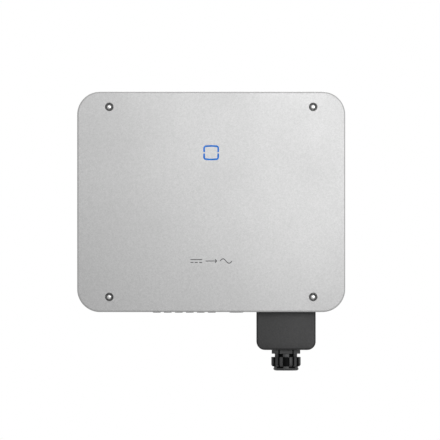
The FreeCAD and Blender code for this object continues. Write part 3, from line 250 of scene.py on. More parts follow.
def pierced(outer, holes, level, upright=True):
    """Flat face with holes: the triangles between its outlines, less those inside a hole."""
    loops = [outer, *holes]
    starts = np.cumsum([0] + [len(p) for p in loops])
    edges = [(int(s + k), int(s + (k + 1) % len(p))) for s, p in zip(starts, loops) for k in range(len(p))]
    flat = [Vector(p) for p in np.concatenate(loops)]
    found, _, faces, *_ = geometry.delaunay_2d_cdt(flat, edges, [], 1, 1e-5)
    points, faces = np.array([tuple(p) for p in found]), np.array(faces, int)
    middle = points[faces].mean(1)
    keep = inside(middle, outer)
    for hole in holes:
        keep &= ~inside(middle, hole)
    height = np.full((len(points), 1), float(level))
    columns = [points[:, :1], height, points[:, 1:]] if upright else [points, height]
    return Shape(np.concatenate(columns, 1), [faces[keep]])


def circle(x, z, radius, segments=48):
    """Outline of a circle."""
    a = angles(segments)
    return np.stack([x + radius * np.cos(a), z + radius * np.sin(a)], -1)


def run_along(path):
    """Distance along a path to each of its points."""
    return np.concatenate([[0], np.cumsum(np.linalg.norm(np.diff(path, axis=0), axis=1))])


def bead(path, section, y, round_ends=0.0):
    """A section carried along a path in an XZ plane.

    The point (s, t) is path(s) plus section(t)'s first number square to the path and its second towards -Y.
    With round ends, the section narrows to them as a circle does.
    """
    path, section = np.asarray(path, float), np.asarray(section, float)
    heading = np.gradient(path, axis=0)
    heading /= np.linalg.norm(heading, axis=1)[:, None]
    side = np.stack([-heading[:, 1], heading[:, 0]], -1)
    width = np.ones(len(path))
    if round_ends:
        run = run_along(path)
        reach = np.clip(np.minimum(run, run[-1] - run) / round_ends, 0, 1)
        width = 0.25 + 0.75 * np.sqrt(1 - (1 - reach) ** 2)
    across = path[:, None, :] + side[:, None, :] * (section[None, :, :1] * width[:, None, None])
    depth = np.broadcast_to(y - section[None, :, 1:], across[..., :1].shape)
    points = np.concatenate([across[..., :1], depth, across[..., 1:]], -1)
    return grid(points)


def resampled(path, spacing):
    """The path with its points at most that far apart."""
    run = run_along(path)
    at = np.linspace(0, run[-1], max(2, int(run[-1] / spacing) + 1))
    return np.stack([np.interp(at, run, path[:, k]) for k in range(path.shape[1])], -1)


def facing_front(shape):
    """Local +Z becomes -Y."""
    return shape.turned("X", 90)


def facing_right(shape):
    """Local +Z becomes +X."""
    return shape.turned("Y", 90)


# ---- pieces ---------------------------------------------------------------------------------------

def span(node):
    """Lowest and highest corner of a CAD piece, in millimetres."""
    low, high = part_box(node)
    return np.array(low) / MM, np.array(high) / MM


def centre(node):
    """Middle of a CAD piece's box, in millimetres."""
    low, high = span(node)
    return (low + high) / 2


def mesh_of(name, shape):
    """Blender mesh of a shape, with its doubled points merged and its faces turned outwards."""
    counts = np.concatenate([np.full(len(f), f.shape[1]) for f in shape.faces])
    mesh = bpy.data.meshes.new(name)
    mesh.vertices.add(len(shape.points))
    mesh.vertices.foreach_set("co", (shape.points * MM).astype(np.float32).ravel())
    mesh.loops.add(int(counts.sum()))
    mesh.loops.foreach_set("vertex_index", np.concatenate([f.ravel() for f in shape.faces]).astype(np.int32))
    mesh.polygons.add(len(counts))
    starts = np.concatenate([[0], np.cumsum(counts)[:-1]])
    mesh.polygons.foreach_set("loop_start", starts.astype(np.int32))
    mesh.update(calc_edges=True)
    # the points' painted shade, kept as the attribute that the finishes read
    attribute = mesh.attributes.new("shade", "FLOAT", "POINT")
    attribute.data.foreach_set("value", shape.shade.astype(np.float32))
    work = bmesh.new()
    work.from_mesh(mesh)
    bmesh.ops.remove_doubles(work, verts=work.verts, dist=2e-6)
    bmesh.ops.recalc_face_normals(work, faces=work.faces)
    work.to_mesh(mesh)
    work.free()
    return mesh


def add_piece(name, shape, finish, body, replaces=(), sharp=35.0):
    """A piece from a shape: smooth but for its sharp edges, with its finish, on its body."""
    mesh = mesh_of(name, shape)
    mesh.shade_smooth()
    mesh.set_sharp_from_angle(angle=math.radians(sharp))
    piece = bpy.data.objects.new(name, mesh)
    bpy.context.scene.collection.objects.link(piece)
    piece.data.materials.append(finish)
    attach(piece, body)
    if replaces:
        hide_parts(*replaces)
    return piece


def body_of_node(node):
    """Name of the body that a CAD piece moves with."""
    return frame["nodes"][node]["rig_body"]


def slot_of_node(node):
    """The record's material slot of a CAD piece."""
    slots = {row["node"]: row["material_slot"] for row in frame["record"]["subparts"]}
    return slots[node]


def add_softened(node, finish, width):
    """A copy of a CAD piece with its points merged and its flat faces made whole, with rounded edges."""
    source = frame["nodes"][node].data
    sharp = math.radians(30)
    mesh = bpy.data.meshes.new(f"{node}_soft_edges")
    work = bmesh.new()
    work.from_mesh(source)
    bmesh.ops.remove_doubles(work, verts=work.verts, dist=1e-6)
    bmesh.ops.dissolve_limit(work, angle_limit=math.radians(0.5), verts=work.verts, edges=work.edges)
    work.to_mesh(mesh)
    work.free()
    mesh.shade_smooth()
    mesh.set_sharp_from_angle(angle=sharp)
    piece = bpy.data.objects.new(f"{node}_soft_edges", mesh)
    bpy.context.scene.collection.objects.link(piece)
    bevel = piece.modifiers.new("rounded_edges", "BEVEL")
    bevel.width = width * MM
    bevel.segments = 2
    bevel.limit_method = "ANGLE"
    bevel.angle_limit = sharp
    bevel.harden_normals = True
    piece.data.materials.clear()
    piece.data.materials.append(finish)
    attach(piece, body_of_node(node))
    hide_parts(node)
    return piece


# ---- finishes -------------------------------------------------------------------------------------

class Nodes:
    """Short calls that add nodes to a tree and join them."""

    def __init__(self, tree):
        self.tree = tree

    def add(self, kind, inputs=None, **settings):
        """A node with these settings. An input is a value, or a socket to link from."""
        node = self.tree.nodes.new(kind)
        for key, value in settings.items():
            setattr(node, key, value)
        for key, value in (inputs or {}).items():
            if isinstance(value, bpy.types.NodeSocket):
                self.tree.links.new(value, node.inputs[key])
            else:
                node.inputs[key].default_value = value
        return node

    def math(self, operation, a, b=0.0):
        return self.add("ShaderNodeMath", {0: a, 1: b}, operation=operation).outputs[0]

    def noise(self, vector, scale, detail=2.0, roughness=0.5):
        made = self.add("ShaderNodeTexNoise",
                        {"Vector": vector, "Scale": scale, "Detail": detail, "Roughness": roughness})
        return made.outputs["Fac"]

    def cells(self, vector, scale, output="Distance", feature="F1"):
        """Voronoi cells."""
        made = self.add("ShaderNodeTexVoronoi", {"Vector": vector, "Scale": scale}, feature=feature)
        return made.outputs[output]

    def place(self, scale=(1.0, 1.0, 1.0)):
        """Where the point is on the object, in metres."""
        coords = self.add("ShaderNodeTexCoord").outputs["Object"]
        return self.add("ShaderNodeMapping", {"Vector": coords, "Scale": scale}).outputs["Vector"]

    def ramp(self, value, low, high, to_low=0.0, to_high=1.0):
        """The value, with low to high stretched to to_low to to_high."""
        made = self.add("ShaderNodeMapRange", {"Value": value, "From Min": low, "From Max": high,
                                               "To Min": to_low, "To Max": to_high})
        return made.outputs["Result"]

    def mix(self, factor, a, b):
        """Colour a, or b where the factor is 1."""
        node = self.add("ShaderNodeMix", data_type="RGBA")
        sockets = [s for s in node.inputs if s.enabled]
        for socket, value in zip(sockets, (factor, a, b)):
            if isinstance(value, bpy.types.NodeSocket):
                self.tree.links.new(value, socket)
            else:
                socket.default_value = value
        return [s for s in node.outputs if s.enabled][0]


def effect(name, inputs, outputs):
    """An empty shader group with named float inputs and outputs, and its Nodes."""
    tree = bpy.data.node_groups.new(name, "ShaderNodeTree")
    for label, default in inputs:
        socket = tree.interface.new_socket(label, in_out="INPUT", socket_type="NodeSocketFloat")
        socket.default_value = default
    for label in outputs:
        tree.interface.new_socket(label, in_out="OUTPUT", socket_type="NodeSocketFloat")
    nodes = Nodes(tree)
    given = nodes.add("NodeGroupInput").outputs
    result = nodes.add("NodeGroupOutput").inputs
    return tree, nodes, given, result


def powder_effect():
    """Powder coat: fine grains and wider mottling over a low orange peel."""
    tree, n, given, result = effect("powder_grain", [("Grain", 1500.0), ("Peel", 260.0)],
                                    ["Tone", "Height", "Patch"])
    at = n.place()
    grain = n.noise(at, given["Grain"], 1.0, 0.6)
    fleck = n.cells(at, given["Grain"], "Color")
    bright = n.add("ShaderNodeSeparateColor", {"Color": fleck}).outputs["Red"]
    peel = n.noise(at, given["Peel"], 2.0)
    mottle = n.noise(at, 260.0, 2.0, 0.7)
    fine = n.math("ADD", n.math("MULTIPLY", grain, 0.3), n.math("MULTIPLY", bright, 0.2))
    tone = n.math("ADD", fine, n.math("MULTIPLY", mottle, 0.5))
    relief = n.math("ADD", n.math("MULTIPLY", grain, 0.35), peel)
    for label, value in (("Tone", tone), ("Height", relief), ("Patch", n.noise(at, 5.0, 3.0))):
        tree.links.new(value, result[label])
    return tree


def moulded_effect():
    """Spark-eroded plastic: small cells and noise, with wide faint flow marks."""
    tree, n, given, result = effect("moulded_grain", [("Grain", 2200.0)], ["Tone", "Height", "Patch"])
    at = n.place()
    cells = n.cells(at, given["Grain"])
    fine = n.noise(at, given["Grain"], 2.0)
    flow = n.noise(n.place(scale=(1.0, 1.0, 0.25)), 60.0, 3.0)
    relief = n.math("ADD", n.math("MULTIPLY", cells, 0.6), n.math("MULTIPLY", fine, 0.4))
    for label, value in (("Tone", fine), ("Height", relief), ("Patch", flow)):
        tree.links.new(value, result[label])
    return tree


def dust_effect():
    """Dust that settles on upward faces: the normal's Z, broken up by noise."""
    tree, n, given, result = effect("settled_dust", [("Amount", 0.5)], ["Mask"])
    up = n.add("ShaderNodeSeparateXYZ", {"Vector": n.add("ShaderNodeNewGeometry").outputs["Normal"]})
    facing = n.ramp(up.outputs["Z"], 0.2, 1.0)
    broken = n.ramp(n.noise(n.place(), 45.0, 5.0, 0.65), 0.35, 0.75)
    mask = n.math("MULTIPLY", n.math("MULTIPLY", facing, broken), given["Amount"])
    tree.links.new(mask, result["Mask"])
    return tree


def brushed_effect():
    """Drawn or ground metal: noise stretched along Z, or with Turn at 1, along X."""
    tree, n, given, result = effect("drawn_lines", [("Turn", 0.0), ("Scale", 500.0)], ["Tone", "Height"])
    upright = n.noise(n.place(scale=(1.0, 1.0, 0.03)), given["Scale"], 3.0, 0.6)
    level = n.noise(n.place(scale=(0.03, 1.0, 1.0)), given["Scale"], 3.0, 0.6)
    chosen = n.add("ShaderNodeMix", {0: given["Turn"], 2: upright, 3: level}).outputs[0]
    tree.links.new(chosen, result["Tone"])
    tree.links.new(chosen, result["Height"])
    return tree


def spangle_effect():
    """Galvanised steel: each zinc crystal has its own brightness, with a faint line at its border.

    The borders are bent: 6% of each place is multiplied by a coloured noise.
    """
    tree, n, given, result = effect("zinc_spangle", [("Scale", 160.0)], ["Tone", "Height"])
    at = n.place()
    wander = n.add("ShaderNodeTexNoise", {"Vector": at, "Scale": 80.0}).outputs["Color"]
    bent = n.add("ShaderNodeVectorMath", {0: at, 1: wander}, operation="MULTIPLY").outputs[0]
    factor, first, second, vector_out = 0, 4, 5, 1
    moved = n.add("ShaderNodeMix", {factor: 0.06, first: at, second: bent},
                  data_type="VECTOR").outputs[vector_out]
    colour = n.add("ShaderNodeSeparateColor", {"Color": n.cells(moved, given["Scale"], "Color")})
    border = n.ramp(n.cells(moved, given["Scale"], "Distance", "DISTANCE_TO_EDGE"), 0.0, 0.08)
    tone = n.math("MULTIPLY", colour.outputs["Red"], n.ramp(border, 0.0, 1.0, 0.85, 1.0))
    tree.links.new(tone, result["Tone"])
    tree.links.new(border, result["Height"])
    return tree


EFFECTS = {}


def effects():
    """The shared groups, built once."""
    if not EFFECTS:
        EFFECTS.update(powder=powder_effect(), moulded=moulded_effect(), dust=dust_effect(),
                       drawn=brushed_effect(), spangle=spangle_effect())
    return EFFECTS


DUST = (0.34, 0.31, 0.27, 1.0)
BARE_ALUMINIUM = (0.62, 0.63, 0.64, 1.0)
SOLDER = (0.62, 0.58, 0.42, 1.0)


class Finish:
    """A material being built round one Principled shader."""

    def __init__(self, name, **constants):
        self.material = bpy.data.materials.new(name)
        self.material.use_nodes = True
        tree = self.material.node_tree
        tree.nodes.clear()
        self.nodes = Nodes(tree)
        self.shader = self.nodes.add("ShaderNodeBsdfPrincipled")
        output = self.nodes.add("ShaderNodeOutputMaterial")
        tree.links.new(self.shader.outputs[0], output.inputs["Surface"])
        for key, value in constants.items():
            self.shader.inputs[key.replace("_", " ")].default_value = value

    def effect(self, name, **inputs):
        """Outputs of a shared group, placed here with its own values."""
        return self.nodes.add("ShaderNodeGroup", inputs, node_tree=effects()[name]).outputs

    def set(self, socket, value):
        """Put a value on a socket of the shader, or link it."""
        target = self.shader.inputs[socket]
        if isinstance(value, bpy.types.NodeSocket):
            self.nodes.tree.links.new(value, target)
        else:
            target.default_value = value

    def bump(self, height, strength, distance):
        """Bump from a height, with its distance in millimetres."""
        made = self.nodes.add("ShaderNodeBump", {"Height": height, "Strength": strength,
                                                 "Distance": distance * MM})
        self.set("Normal", made.outputs["Normal"])

    def dusted(self, colour, amount):
        """The colour with settled dust over it."""
        return self.nodes.mix(self.effect("dust", Amount=amount)["Mask"], colour, DUST)

    def attribute(self, name):
        """A value that the mesh holds at each point."""
        return self.nodes.add("ShaderNodeAttribute", attribute_name=name).outputs["Fac"]


def shaded(colour, factor):
    """A colour made darker or lighter."""
    return tuple(min(1.0, c * factor) for c in colour[:3]) + (1.0,)


def powder_coat(name, colour, metallic, roughness, contrast, grain, relief, dust):
    """Powder coat: flecks of two tones over the colour, orange peel in the bump, and rougher patches."""
    made = Finish(name, Metallic=metallic)
    effect_out = made.effect("powder", Grain=grain)
    n = made.nodes
    tone = n.ramp(effect_out["Tone"], 0.3, 0.7)
    flecked = n.mix(tone, shaded(colour, 1 - contrast), shaded(colour, 1 + contrast))
    patchy = n.mix(n.ramp(effect_out["Patch"], 0.3, 0.7, 0.0, 0.10), flecked, shaded(colour, 0.8))
    made.set("Base Color", made.dusted(patchy, dust))
    made.set("Roughness", n.ramp(effect_out["Patch"], 0.3, 0.7, roughness - 0.04, roughness + 0.05))
    made.bump(effect_out["Height"], relief, 0.12)
    return made.material


def moulded(name, colour, roughness, dust=0.0, painted_shade=0.0, grain=2200.0, relief=0.25, ior=1.5):
    """Moulded plastic: fine erosion grain and faint flow marks. Recesses (shade 1) get painted shade: near
    black, without gloss.
    """
    made = Finish(name, IOR=ior)
    out = made.effect("moulded", Grain=grain)
    n = made.nodes
    base = n.mix(n.ramp(out["Patch"], 0.3, 0.7), shaded(colour, 0.88), shaded(colour, 1.12))
    speckled = n.mix(n.ramp(out["Tone"], 0.35, 0.65, 0.0, 0.25), base, shaded(colour, 1.5))
    if painted_shade:
        # painted shade: where shade is 1 the colour falls to 0.3 of itself and Metallic goes to 1, so
        # recesses show near black
        deep = n.math("MULTIPLY", made.attribute("shade"), painted_shade)
        speckled = n.mix(deep, speckled, shaded(colour, 0.3))
        made.set("Metallic", deep)
    made.set("Base Color", made.dusted(speckled, dust))
    made.set("Roughness", n.ramp(out["Patch"], 0.3, 0.7, roughness - 0.05, roughness + 0.07))
    made.bump(out["Height"], relief, 0.05)
    return made.material


def rubber(name, colour):
    """Matt rubber with a bloom that lightens it in patches."""
    made = Finish(name, Roughness=0.8)
    out = made.effect("moulded", Grain=1500.0)
    n = made.nodes
    made.set("Base Color", n.mix(n.ramp(out["Patch"], 0.4, 0.8, 0.0, 0.5), colour, shaded(colour, 2.6)))
    made.bump(out["Height"], 0.35, 0.06)
    return made.material


def drawn_metal(name, colour, roughness, scale, relief, turn=0.0, dust=0.0):
    """Drawn, rolled or ground metal: fine lines in tone, roughness and bump."""
    made = Finish(name, Metallic=1.0)
    out = made.effect("drawn", Turn=turn, Scale=scale)
    n = made.nodes
    lined = n.mix(n.ramp(out["Tone"], 0.3, 0.7), shaded(colour, 0.84), shaded(colour, 1.1))
    made.set("Base Color", made.dusted(lined, dust) if dust else lined)
    made.set("Roughness", n.ramp(out["Tone"], 0.3, 0.7, roughness - 0.06, roughness + 0.08))
    made.bump(out["Height"], relief, 0.04)
    return made.material


def galvanised(name, colour):
    """Zinc: crystals that differ in brightness and roughness."""
    made = Finish(name, Metallic=0.85)
    out = made.effect("spangle", Scale=190.0)
    n = made.nodes
    made.set("Base Color", made.dusted(n.mix(out["Tone"], shaded(colour, 0.88), shaded(colour, 1.08)), 0.4))
    made.set("Roughness", n.ramp(out["Tone"], 0.0, 1.0, 0.5, 0.42))
    made.bump(out["Height"], 0.12, 0.05)
    return made.material


def lit_plastic(name, colour, glow):
    """Frosted light guide: its own glow varies a little along it, by noise."""
    made = Finish(name, Roughness=0.6, IOR=1.3)
    n = made.nodes
    waves = n.noise(n.place(), 90.0, 1.0)
    tone = n.mix(n.ramp(waves, 0.3, 0.7), shaded(colour, 0.88), shaded(colour, 1.12))
    made.set("Base Color", shaded(colour, 0.08))
    made.set("Emission Color", tone)
    made.set("Emission Strength", glow)
    made.bump(n.noise(n.place(), 1200.0, 1.0), 0.1, 0.03)
    return made.material


def circuit_board(name, colour):
    """Solder mask over tracks: the tracks are a lattice of bands that show as a paler green."""
    made = Finish(name, Roughness=0.38)
    n = made.nodes
    at = n.place()
    lattice = n.add("ShaderNodeTexBrick", {"Vector": at, "Scale": 70.0, "Mortar Size": 0.03,
                                           "Color1": (0.0, 0.0, 0.0, 1.0), "Color2": (0.15, 0.15, 0.15, 1.0),
                                           "Mortar": (1.0, 1.0, 1.0, 1.0)})
    pads = n.ramp(n.cells(at, 260.0), 0.18, 0.12)
    tracked = n.mix(n.math("MULTIPLY", lattice.outputs["Fac"], 0.8), colour, shaded(colour, 2.2))
    made.set("Base Color", n.mix(n.math("MULTIPLY", pads, 0.5), tracked, SOLDER))
    made.bump(lattice.outputs["Fac"], 0.2, 0.05)
    return made.material


def sleeved_can(name, colour):
    """Capacitor: a shrink sleeve, with bare aluminium at its front end."""
    made = Finish(name, Roughness=0.35)
    n = made.nodes
    depth = n.add("ShaderNodeSeparateXYZ", {"Vector": n.place()}).outputs["Y"]
    low, _ = span("dc_link_capacitors")
    bare = n.ramp(depth, (low[1] + 1.5) * MM, (low[1] + 0.5) * MM)
    lines = made.effect("drawn", Turn=1.0, Scale=300.0)["Tone"]
    sleeve = n.mix(n.ramp(lines, 0.3, 0.7, 0.0, 0.3), colour, shaded(colour, 1.8))
    made.set("Base Color", n.mix(bare, sleeve, BARE_ALUMINIUM))
    made.set("Metallic", bare)
    return made.material


def studio_floor(name, colour):
    """Pale painted floor with a trace of unevenness."""
    made = Finish(name, Roughness=0.75)
    n = made.nodes
    uneven = n.ramp(n.noise(n.place(), 1.5, 3.0), 0.3, 0.7)
    made.set("Base Color", n.mix(uneven, shaded(colour, 0.985), colour))
    return made.material


FINISHES = {}


# ---- settings -------------------------------------------------------------------------------------

def length(name, description, millimetres):
    """A length property, given in millimetres and kept in metres."""
    return bpy.props.FloatProperty(name=name, description=description, default=millimetres * MM, min=0.0,
                                   unit="LENGTH", precision=5)


def colour(name, description, red, green, blue):
    """A colour property."""
    return bpy.props.FloatVectorProperty(name=name, description=description, default=(red, green, blue),
                                         subtype="COLOR", min=0.0, max=1.0)


class CoverSettings(bpy.types.PropertyGroup):
    """Front cover and its screws"""
    corner: length("Corner radius", "Radius of the front cover's corners", 60.0)
    edge: length("Edge radius", "Rounding of the front cover's folded edge", 4.5)
    sheet: length("Sheet", "Thickness of the front cover's sheet", 2.0)
    screw_x: length("Screw offset X", "Corner screws' distance from the middle, sideways", 267.0)
    screw_z: length("Screw offset Z", "Corner screws' distance from the middle, upwards", 249.0)
    cup: length("Cup radius", "Outer radius of the screw cups", 11.0)
    screw: length("Screw width", "Width across flats of the domed cover screws", 11.4)


class LightSettings(bpy.types.PropertyGroup):
    """Status light"""
    width: length("Width", "Outer width of the status light ring", 42.1)
    height: length("Height", "Outer height of the status light ring without its bow", 38.0)
    line: length("Line", "Width of the ring's line", 5.3)
    corner: length("Corner radius", "Outer corner radius of the ring", 7.0)
    gap: length("Gap", "Height of the gap in each side", 3.0)
    bow: length("Bow", "How far the top and bottom are arched", 1.3)
    level: length("Level", "Height of the ring's middle above the middle of the cover", 129.0)


class SymbolSettings(bpy.types.PropertyGroup):
    """Printed converter symbol"""
    width: length("Width", "Width of the printed converter symbol", 111.0)
    height: length("Height", "Height of the printed converter symbol", 13.8)
    line: length("Line", "Width of the printed lines", 2.2)
    drop: length("Drop", "How far the symbol is below the middle of the cover", 154.7)


class HoodSettings(bpy.types.PropertyGroup):
    """Junction box"""
    half_width: length("Half width", "Half the junction box's width", 77.6)
    corner: length("Corner radius", "Radius of the two lower corners", 22.0)
    edge: length("Edge radius", "Rounding of the front and back edges", 5.0)
    wall: length("Wall", "Thickness of the junction box's wall", 3.0)


class GlandSettings(bpy.types.PropertyGroup):
    """Mains and communication glands"""
    mains_flats: length("Mains hexagon", "Mains gland's width across flats", 67.0)
    mains_thread: length("Mains thread", "Mains gland's thread radius", 31.0)
    rib_width: length("Rib width", "Width of each grip rib of the mains gland", 9.0)
    rib_depth: length("Rib depth", "Depth of the pockets between the ribs", 5.5)
    signal_flats: length("Signal hexagon", "Communication gland's width across flats", 37.7)
    signal_thread: length("Signal thread", "Communication gland's thread radius", 16.0)


class PlugSettings(bpy.types.PropertyGroup):
    """Plug connectors"""
    pitch: length("Pitch", "Distance between neighbouring plug connectors", 28.9)
    bore: length("Bore", "Radius of a socket's bore", 6.7)
    nose: length("Nose", "Radius of a plug's nose", 6.0)


class FanSettings(bpy.types.PropertyGroup):
    """Fans and finger guards"""
    blades: bpy.props.IntProperty(name="Blades", description="Blades of each fan", default=7, min=3, max=15)
    hub: length("Hub radius", "Radius of each fan's hub", 18.0)
    tip: length("Tip radius", "Radius at the blade tips", 42.3)
    wire: length("Guard wire", "Radius of the finger guards' wire", 1.0)


class ColourSettings(bpy.types.PropertyGroup):
    """Colours of the finishes"""
    silver: colour("Silver coat", "Front cover's powder coat", 0.44, 0.44, 0.44)
    dark: colour("Dark coat", "Powder coat of the enclosure and the junction box", 0.010, 0.010, 0.0105)
    nylon: colour("Black nylon", "Glands, plug connectors and knob", 0.018, 0.018, 0.019)
    cup: colour("Cup nylon", "Screw cups in the front cover", 0.11, 0.11, 0.112)
    rubber: colour("Rubber", "Seals and gaskets", 0.014, 0.014, 0.015)
    steel: colour("Stainless steel", "Screws and studs", 0.68, 0.68, 0.67)
    zinc: colour("Zinc", "Galvanised sheet", 0.52, 0.54, 0.56)
    aluminium: colour("Aluminium", "Heat sink", 0.63, 0.64, 0.65)
    light: colour("Status light", "Light of the ring", 0.002, 0.140, 0.525)
    ink: colour("Ink", "Printed symbol", 0.05, 0.05, 0.053)
    copper: colour("Copper", "Bars", 0.80, 0.42, 0.28)
    board: colour("Board", "Circuit boards", 0.02, 0.13, 0.05)
    floor: colour("Floor", "Studio floor", 0.88, 0.88, 0.88)


class StudioSettings(bpy.types.PropertyGroup):
    """Camera, lights and surroundings"""
    lens: bpy.props.FloatProperty(name="Lens", description="Focal length of the camera", default=800.0,
                                  min=20.0, subtype="DISTANCE_CAMERA")
    width: length("Frame width", "Width of the view at the front cover", 1152.5)
    shift_x: length("Aim X", "The view's middle, right of the origin", 23.1)
    drop_z: length("Aim down", "The view's middle, below the origin", 47.3)
    key: bpy.props.FloatProperty(name="Key", description="Power of the soft light on the right, in watts",
                                 default=4.1, min=0.0)
    fill: bpy.props.FloatProperty(name="Fill", description="Power of the soft light on the left, in watts",
                                  default=2.1, min=0.0)
    back: bpy.props.FloatProperty(name="Back", description="Power of the light behind, in watts",
                                  default=20.0, min=0.0)
    ambient: bpy.props.FloatProperty(name="Ambient", description="Strength of the white surroundings",
                                     default=0.63, min=0.0)


SETTINGS = {
    "inverter_cover": CoverSettings, "inverter_light": LightSettings, "inverter_symbol": SymbolSettings,
    "inverter_hood": HoodSettings, "inverter_gland": GlandSettings, "inverter_plug": PlugSettings,
    "inverter_fan": FanSettings, "inverter_colours": ColourSettings, "inverter_studio": StudioSettings,
}


class Millimetres:
    """Reads a property group's lengths in millimetres."""

    def __init__(self, group):
        self.group = group

    def __getattr__(self, name):
        value = getattr(self.group, name)
        return value / MM if isinstance(value, float) else value


def settings(context, name):
    """One of the scene's property groups, read in millimetres."""
    return Millimetres(getattr(context.scene, f"inverter_{name}"))


# ---- front cover ----------------------------------------------------------------------------------

def cover_corners(cover):
    """(x, z) of the four corner screws."""
    return [(sx * cover.screw_x, sz * cover.screw_z) for sx in (-1, 1) for sz in (-1, 1)]


def rim_profile(edge, sheet, front, back):
    """(inset, y) along a folded edge: round the front corner, back along the side, and home inside it."""
    a = np.linspace(0, TAU / 4, 11)
    lip = np.array([(0, back - 0.7), (0.2, back - 0.2), (0.7, back), (sheet - 0.7, back),
                    (sheet - 0.2, back - 0.2), (sheet, back - 0.7)])
    outer = np.stack([edge * (1 - np.sin(a)), front + edge * (1 - np.cos(a))], -1)
    inner_edge = edge - sheet
    inner = np.stack([sheet + inner_edge * (1 - np.sin(a)), front + sheet + inner_edge * (1 - np.cos(a))], -1)
    return np.concatenate([[(edge + 1.0, front)], outer, lip, inner[::-1], [(edge + 1.0, front + sheet)]])


def cover_shape(cover):
    """Front cover: the rim profile carried round a rounded rectangle, and flat faces with four holes."""
    low, high = span("front_cover")
    front, back = low[1], high[1]
    rim = rim_profile(cover.edge, cover.sheet, front, back)

    def outline(inset):
        return low[0] + inset, high[0] - inset, low[2] + inset, high[2] - inset, cover.corner - inset

    shell = stack([(*outline(i), y) for i, y in rim], steps=28, caps=False)
    border = rectangle(*outline(cover.edge + 1.0), steps=28)
    hole = cover.cup + 0.1
    spots = cover_corners(cover)
    faces = [pierced(border, [circle(x, z, hole + 0.9, 64) for x, z in spots], y)
             for y in (front, front + cover.sheet)]
    soft = 0.35
    walls = [(hole + 0.9, 0.0), (hole + soft, 0.0), (hole + 0.1, 0.1), (hole, soft),
             (hole, cover.sheet - 0.1), (hole + 0.9, cover.sheet)]
    wall = lathe(*profile(*[(r, -d) for r, d in walls]), segments=64, caps=False)
    wall = facing_front(wall)
    return joined([shell, *faces, repeated(wall, [(x, front, z) for x, z in spots])])


def cup_shape(cover, low, high):
    """Screw cup: a funnel with a rolled lip, a flange behind the sheet and a hole in its floor."""
    depth = high[1] - low[1]
    outer = cover.cup
    rows = profile((3.3, 0), (outer - 0.5, 0), (outer, 0.5), (outer, depth - 3.6), (outer + 2.6, depth - 3.6),
                   (outer + 3, depth - 3.2), (outer + 3, depth - 2.0), (outer + 2.8, depth - 1.6),
                   (outer, depth - 1.6), (outer, depth - 0.4), (outer - 0.25, depth - 0.05),
                   (outer - 0.6, depth + 0.05), (outer - 1.0, depth - 0.15), (outer - 1.3, depth - 0.6),
                   (outer - 2.2, 3.2), (outer - 2.5, 2.3), (outer - 3.0, 2.0), (3.3, 2.0))
    return facing_front(lathe(*rows, segments=64, hollow=True)).moved(y=high[1])


def domed_screw_shape(cover, low, high):
    """Cover screw: a hexagon under a dome that falls by crown x (r / corner)^2.4, on a round flange."""
    segments = 72
    seat = high[1] - 14.0
    top_level = seat - low[1]
    flange = np.array([(7.4, 0.0), (7.8, 0.25), (7.8, 0.6), (7.5, 0.9)])
    corner, crown = cover.screw / math.sqrt(3), 2.6
    share = np.linspace(1.0, 0.02, 14)
    dome_r = corner * share
    dome_h = top_level - crown * share ** 2.4
    face = hexagon(cover.screw, segments)
    head = np.minimum(face[None, :], dome_r[:, None])
    side = np.stack([face, face])
    radii = np.concatenate([np.repeat(flange[:, :1], segments, 1), side, head])
    fall = crown * (face / corner) ** 2.4
    skirt = np.stack([np.full(segments, 1.6), top_level - fall])
    crown_h = np.maximum(dome_h[:, None], (top_level - fall)[None, :])
    heights = np.concatenate([np.repeat(flange[:, 1:], segments, 1), skirt, crown_h])
    top = lathe(radii, heights, segments)
    shank = lathe(*threaded(3.0, -13.9, 0.0, 1.0, 24, 0.5), segments=24)
    return facing_front(joined([top, shank])).moved(y=seat)


def half_ring(light, inset):
    """One half of the light ring's middle line, from gap to gap over the top.

    The rounded rectangle's points above the gap are lifted by bow x (1 - (x / half width)^2).
    """
    half_w, half_h = light.width / 2 - inset, light.height / 2 - inset
    outline = rectangle(-half_w, half_w, -half_h, half_h, light.corner - inset, steps=16)
    upper = outline[outline[:, 1] > 0]
    upper = upper[np.argsort(np.arctan2(upper[:, 1], upper[:, 0]))]
    start, end = np.array([[half_w, light.gap / 2]]), np.array([[-half_w, light.gap / 2]])
    spacing = 0.9
    path = resampled(np.concatenate([start, upper, end]), spacing)
    path[:, 1] += light.bow * np.clip(1 - (path[:, 0] / half_w) ** 2, 0, None) * (path[:, 1] > half_h * 0.7)
    return path


def light_ring_shape(light, low, high):
    """Status light: a crowned bead along each half of the ring, up from the holder behind the cover."""
    half = light.line / 2
    crown = np.linspace(-1, 1, 9)
    depth = high[1] - 2.0 - low[1]
    top = np.stack([half * crown, depth - 0.35 * crown ** 4], -1)
    section = np.concatenate([[(-half, 0.0)], top, [(half, 0.0)]])[::-1]
    upper = bead(half_ring(light, half), section, high[1] - 2.0, round_ends=1.0)
    lower = Shape(upper.points * (1, 1, -1), upper.faces)
    return joined([upper, lower]).moved(z=light.level)


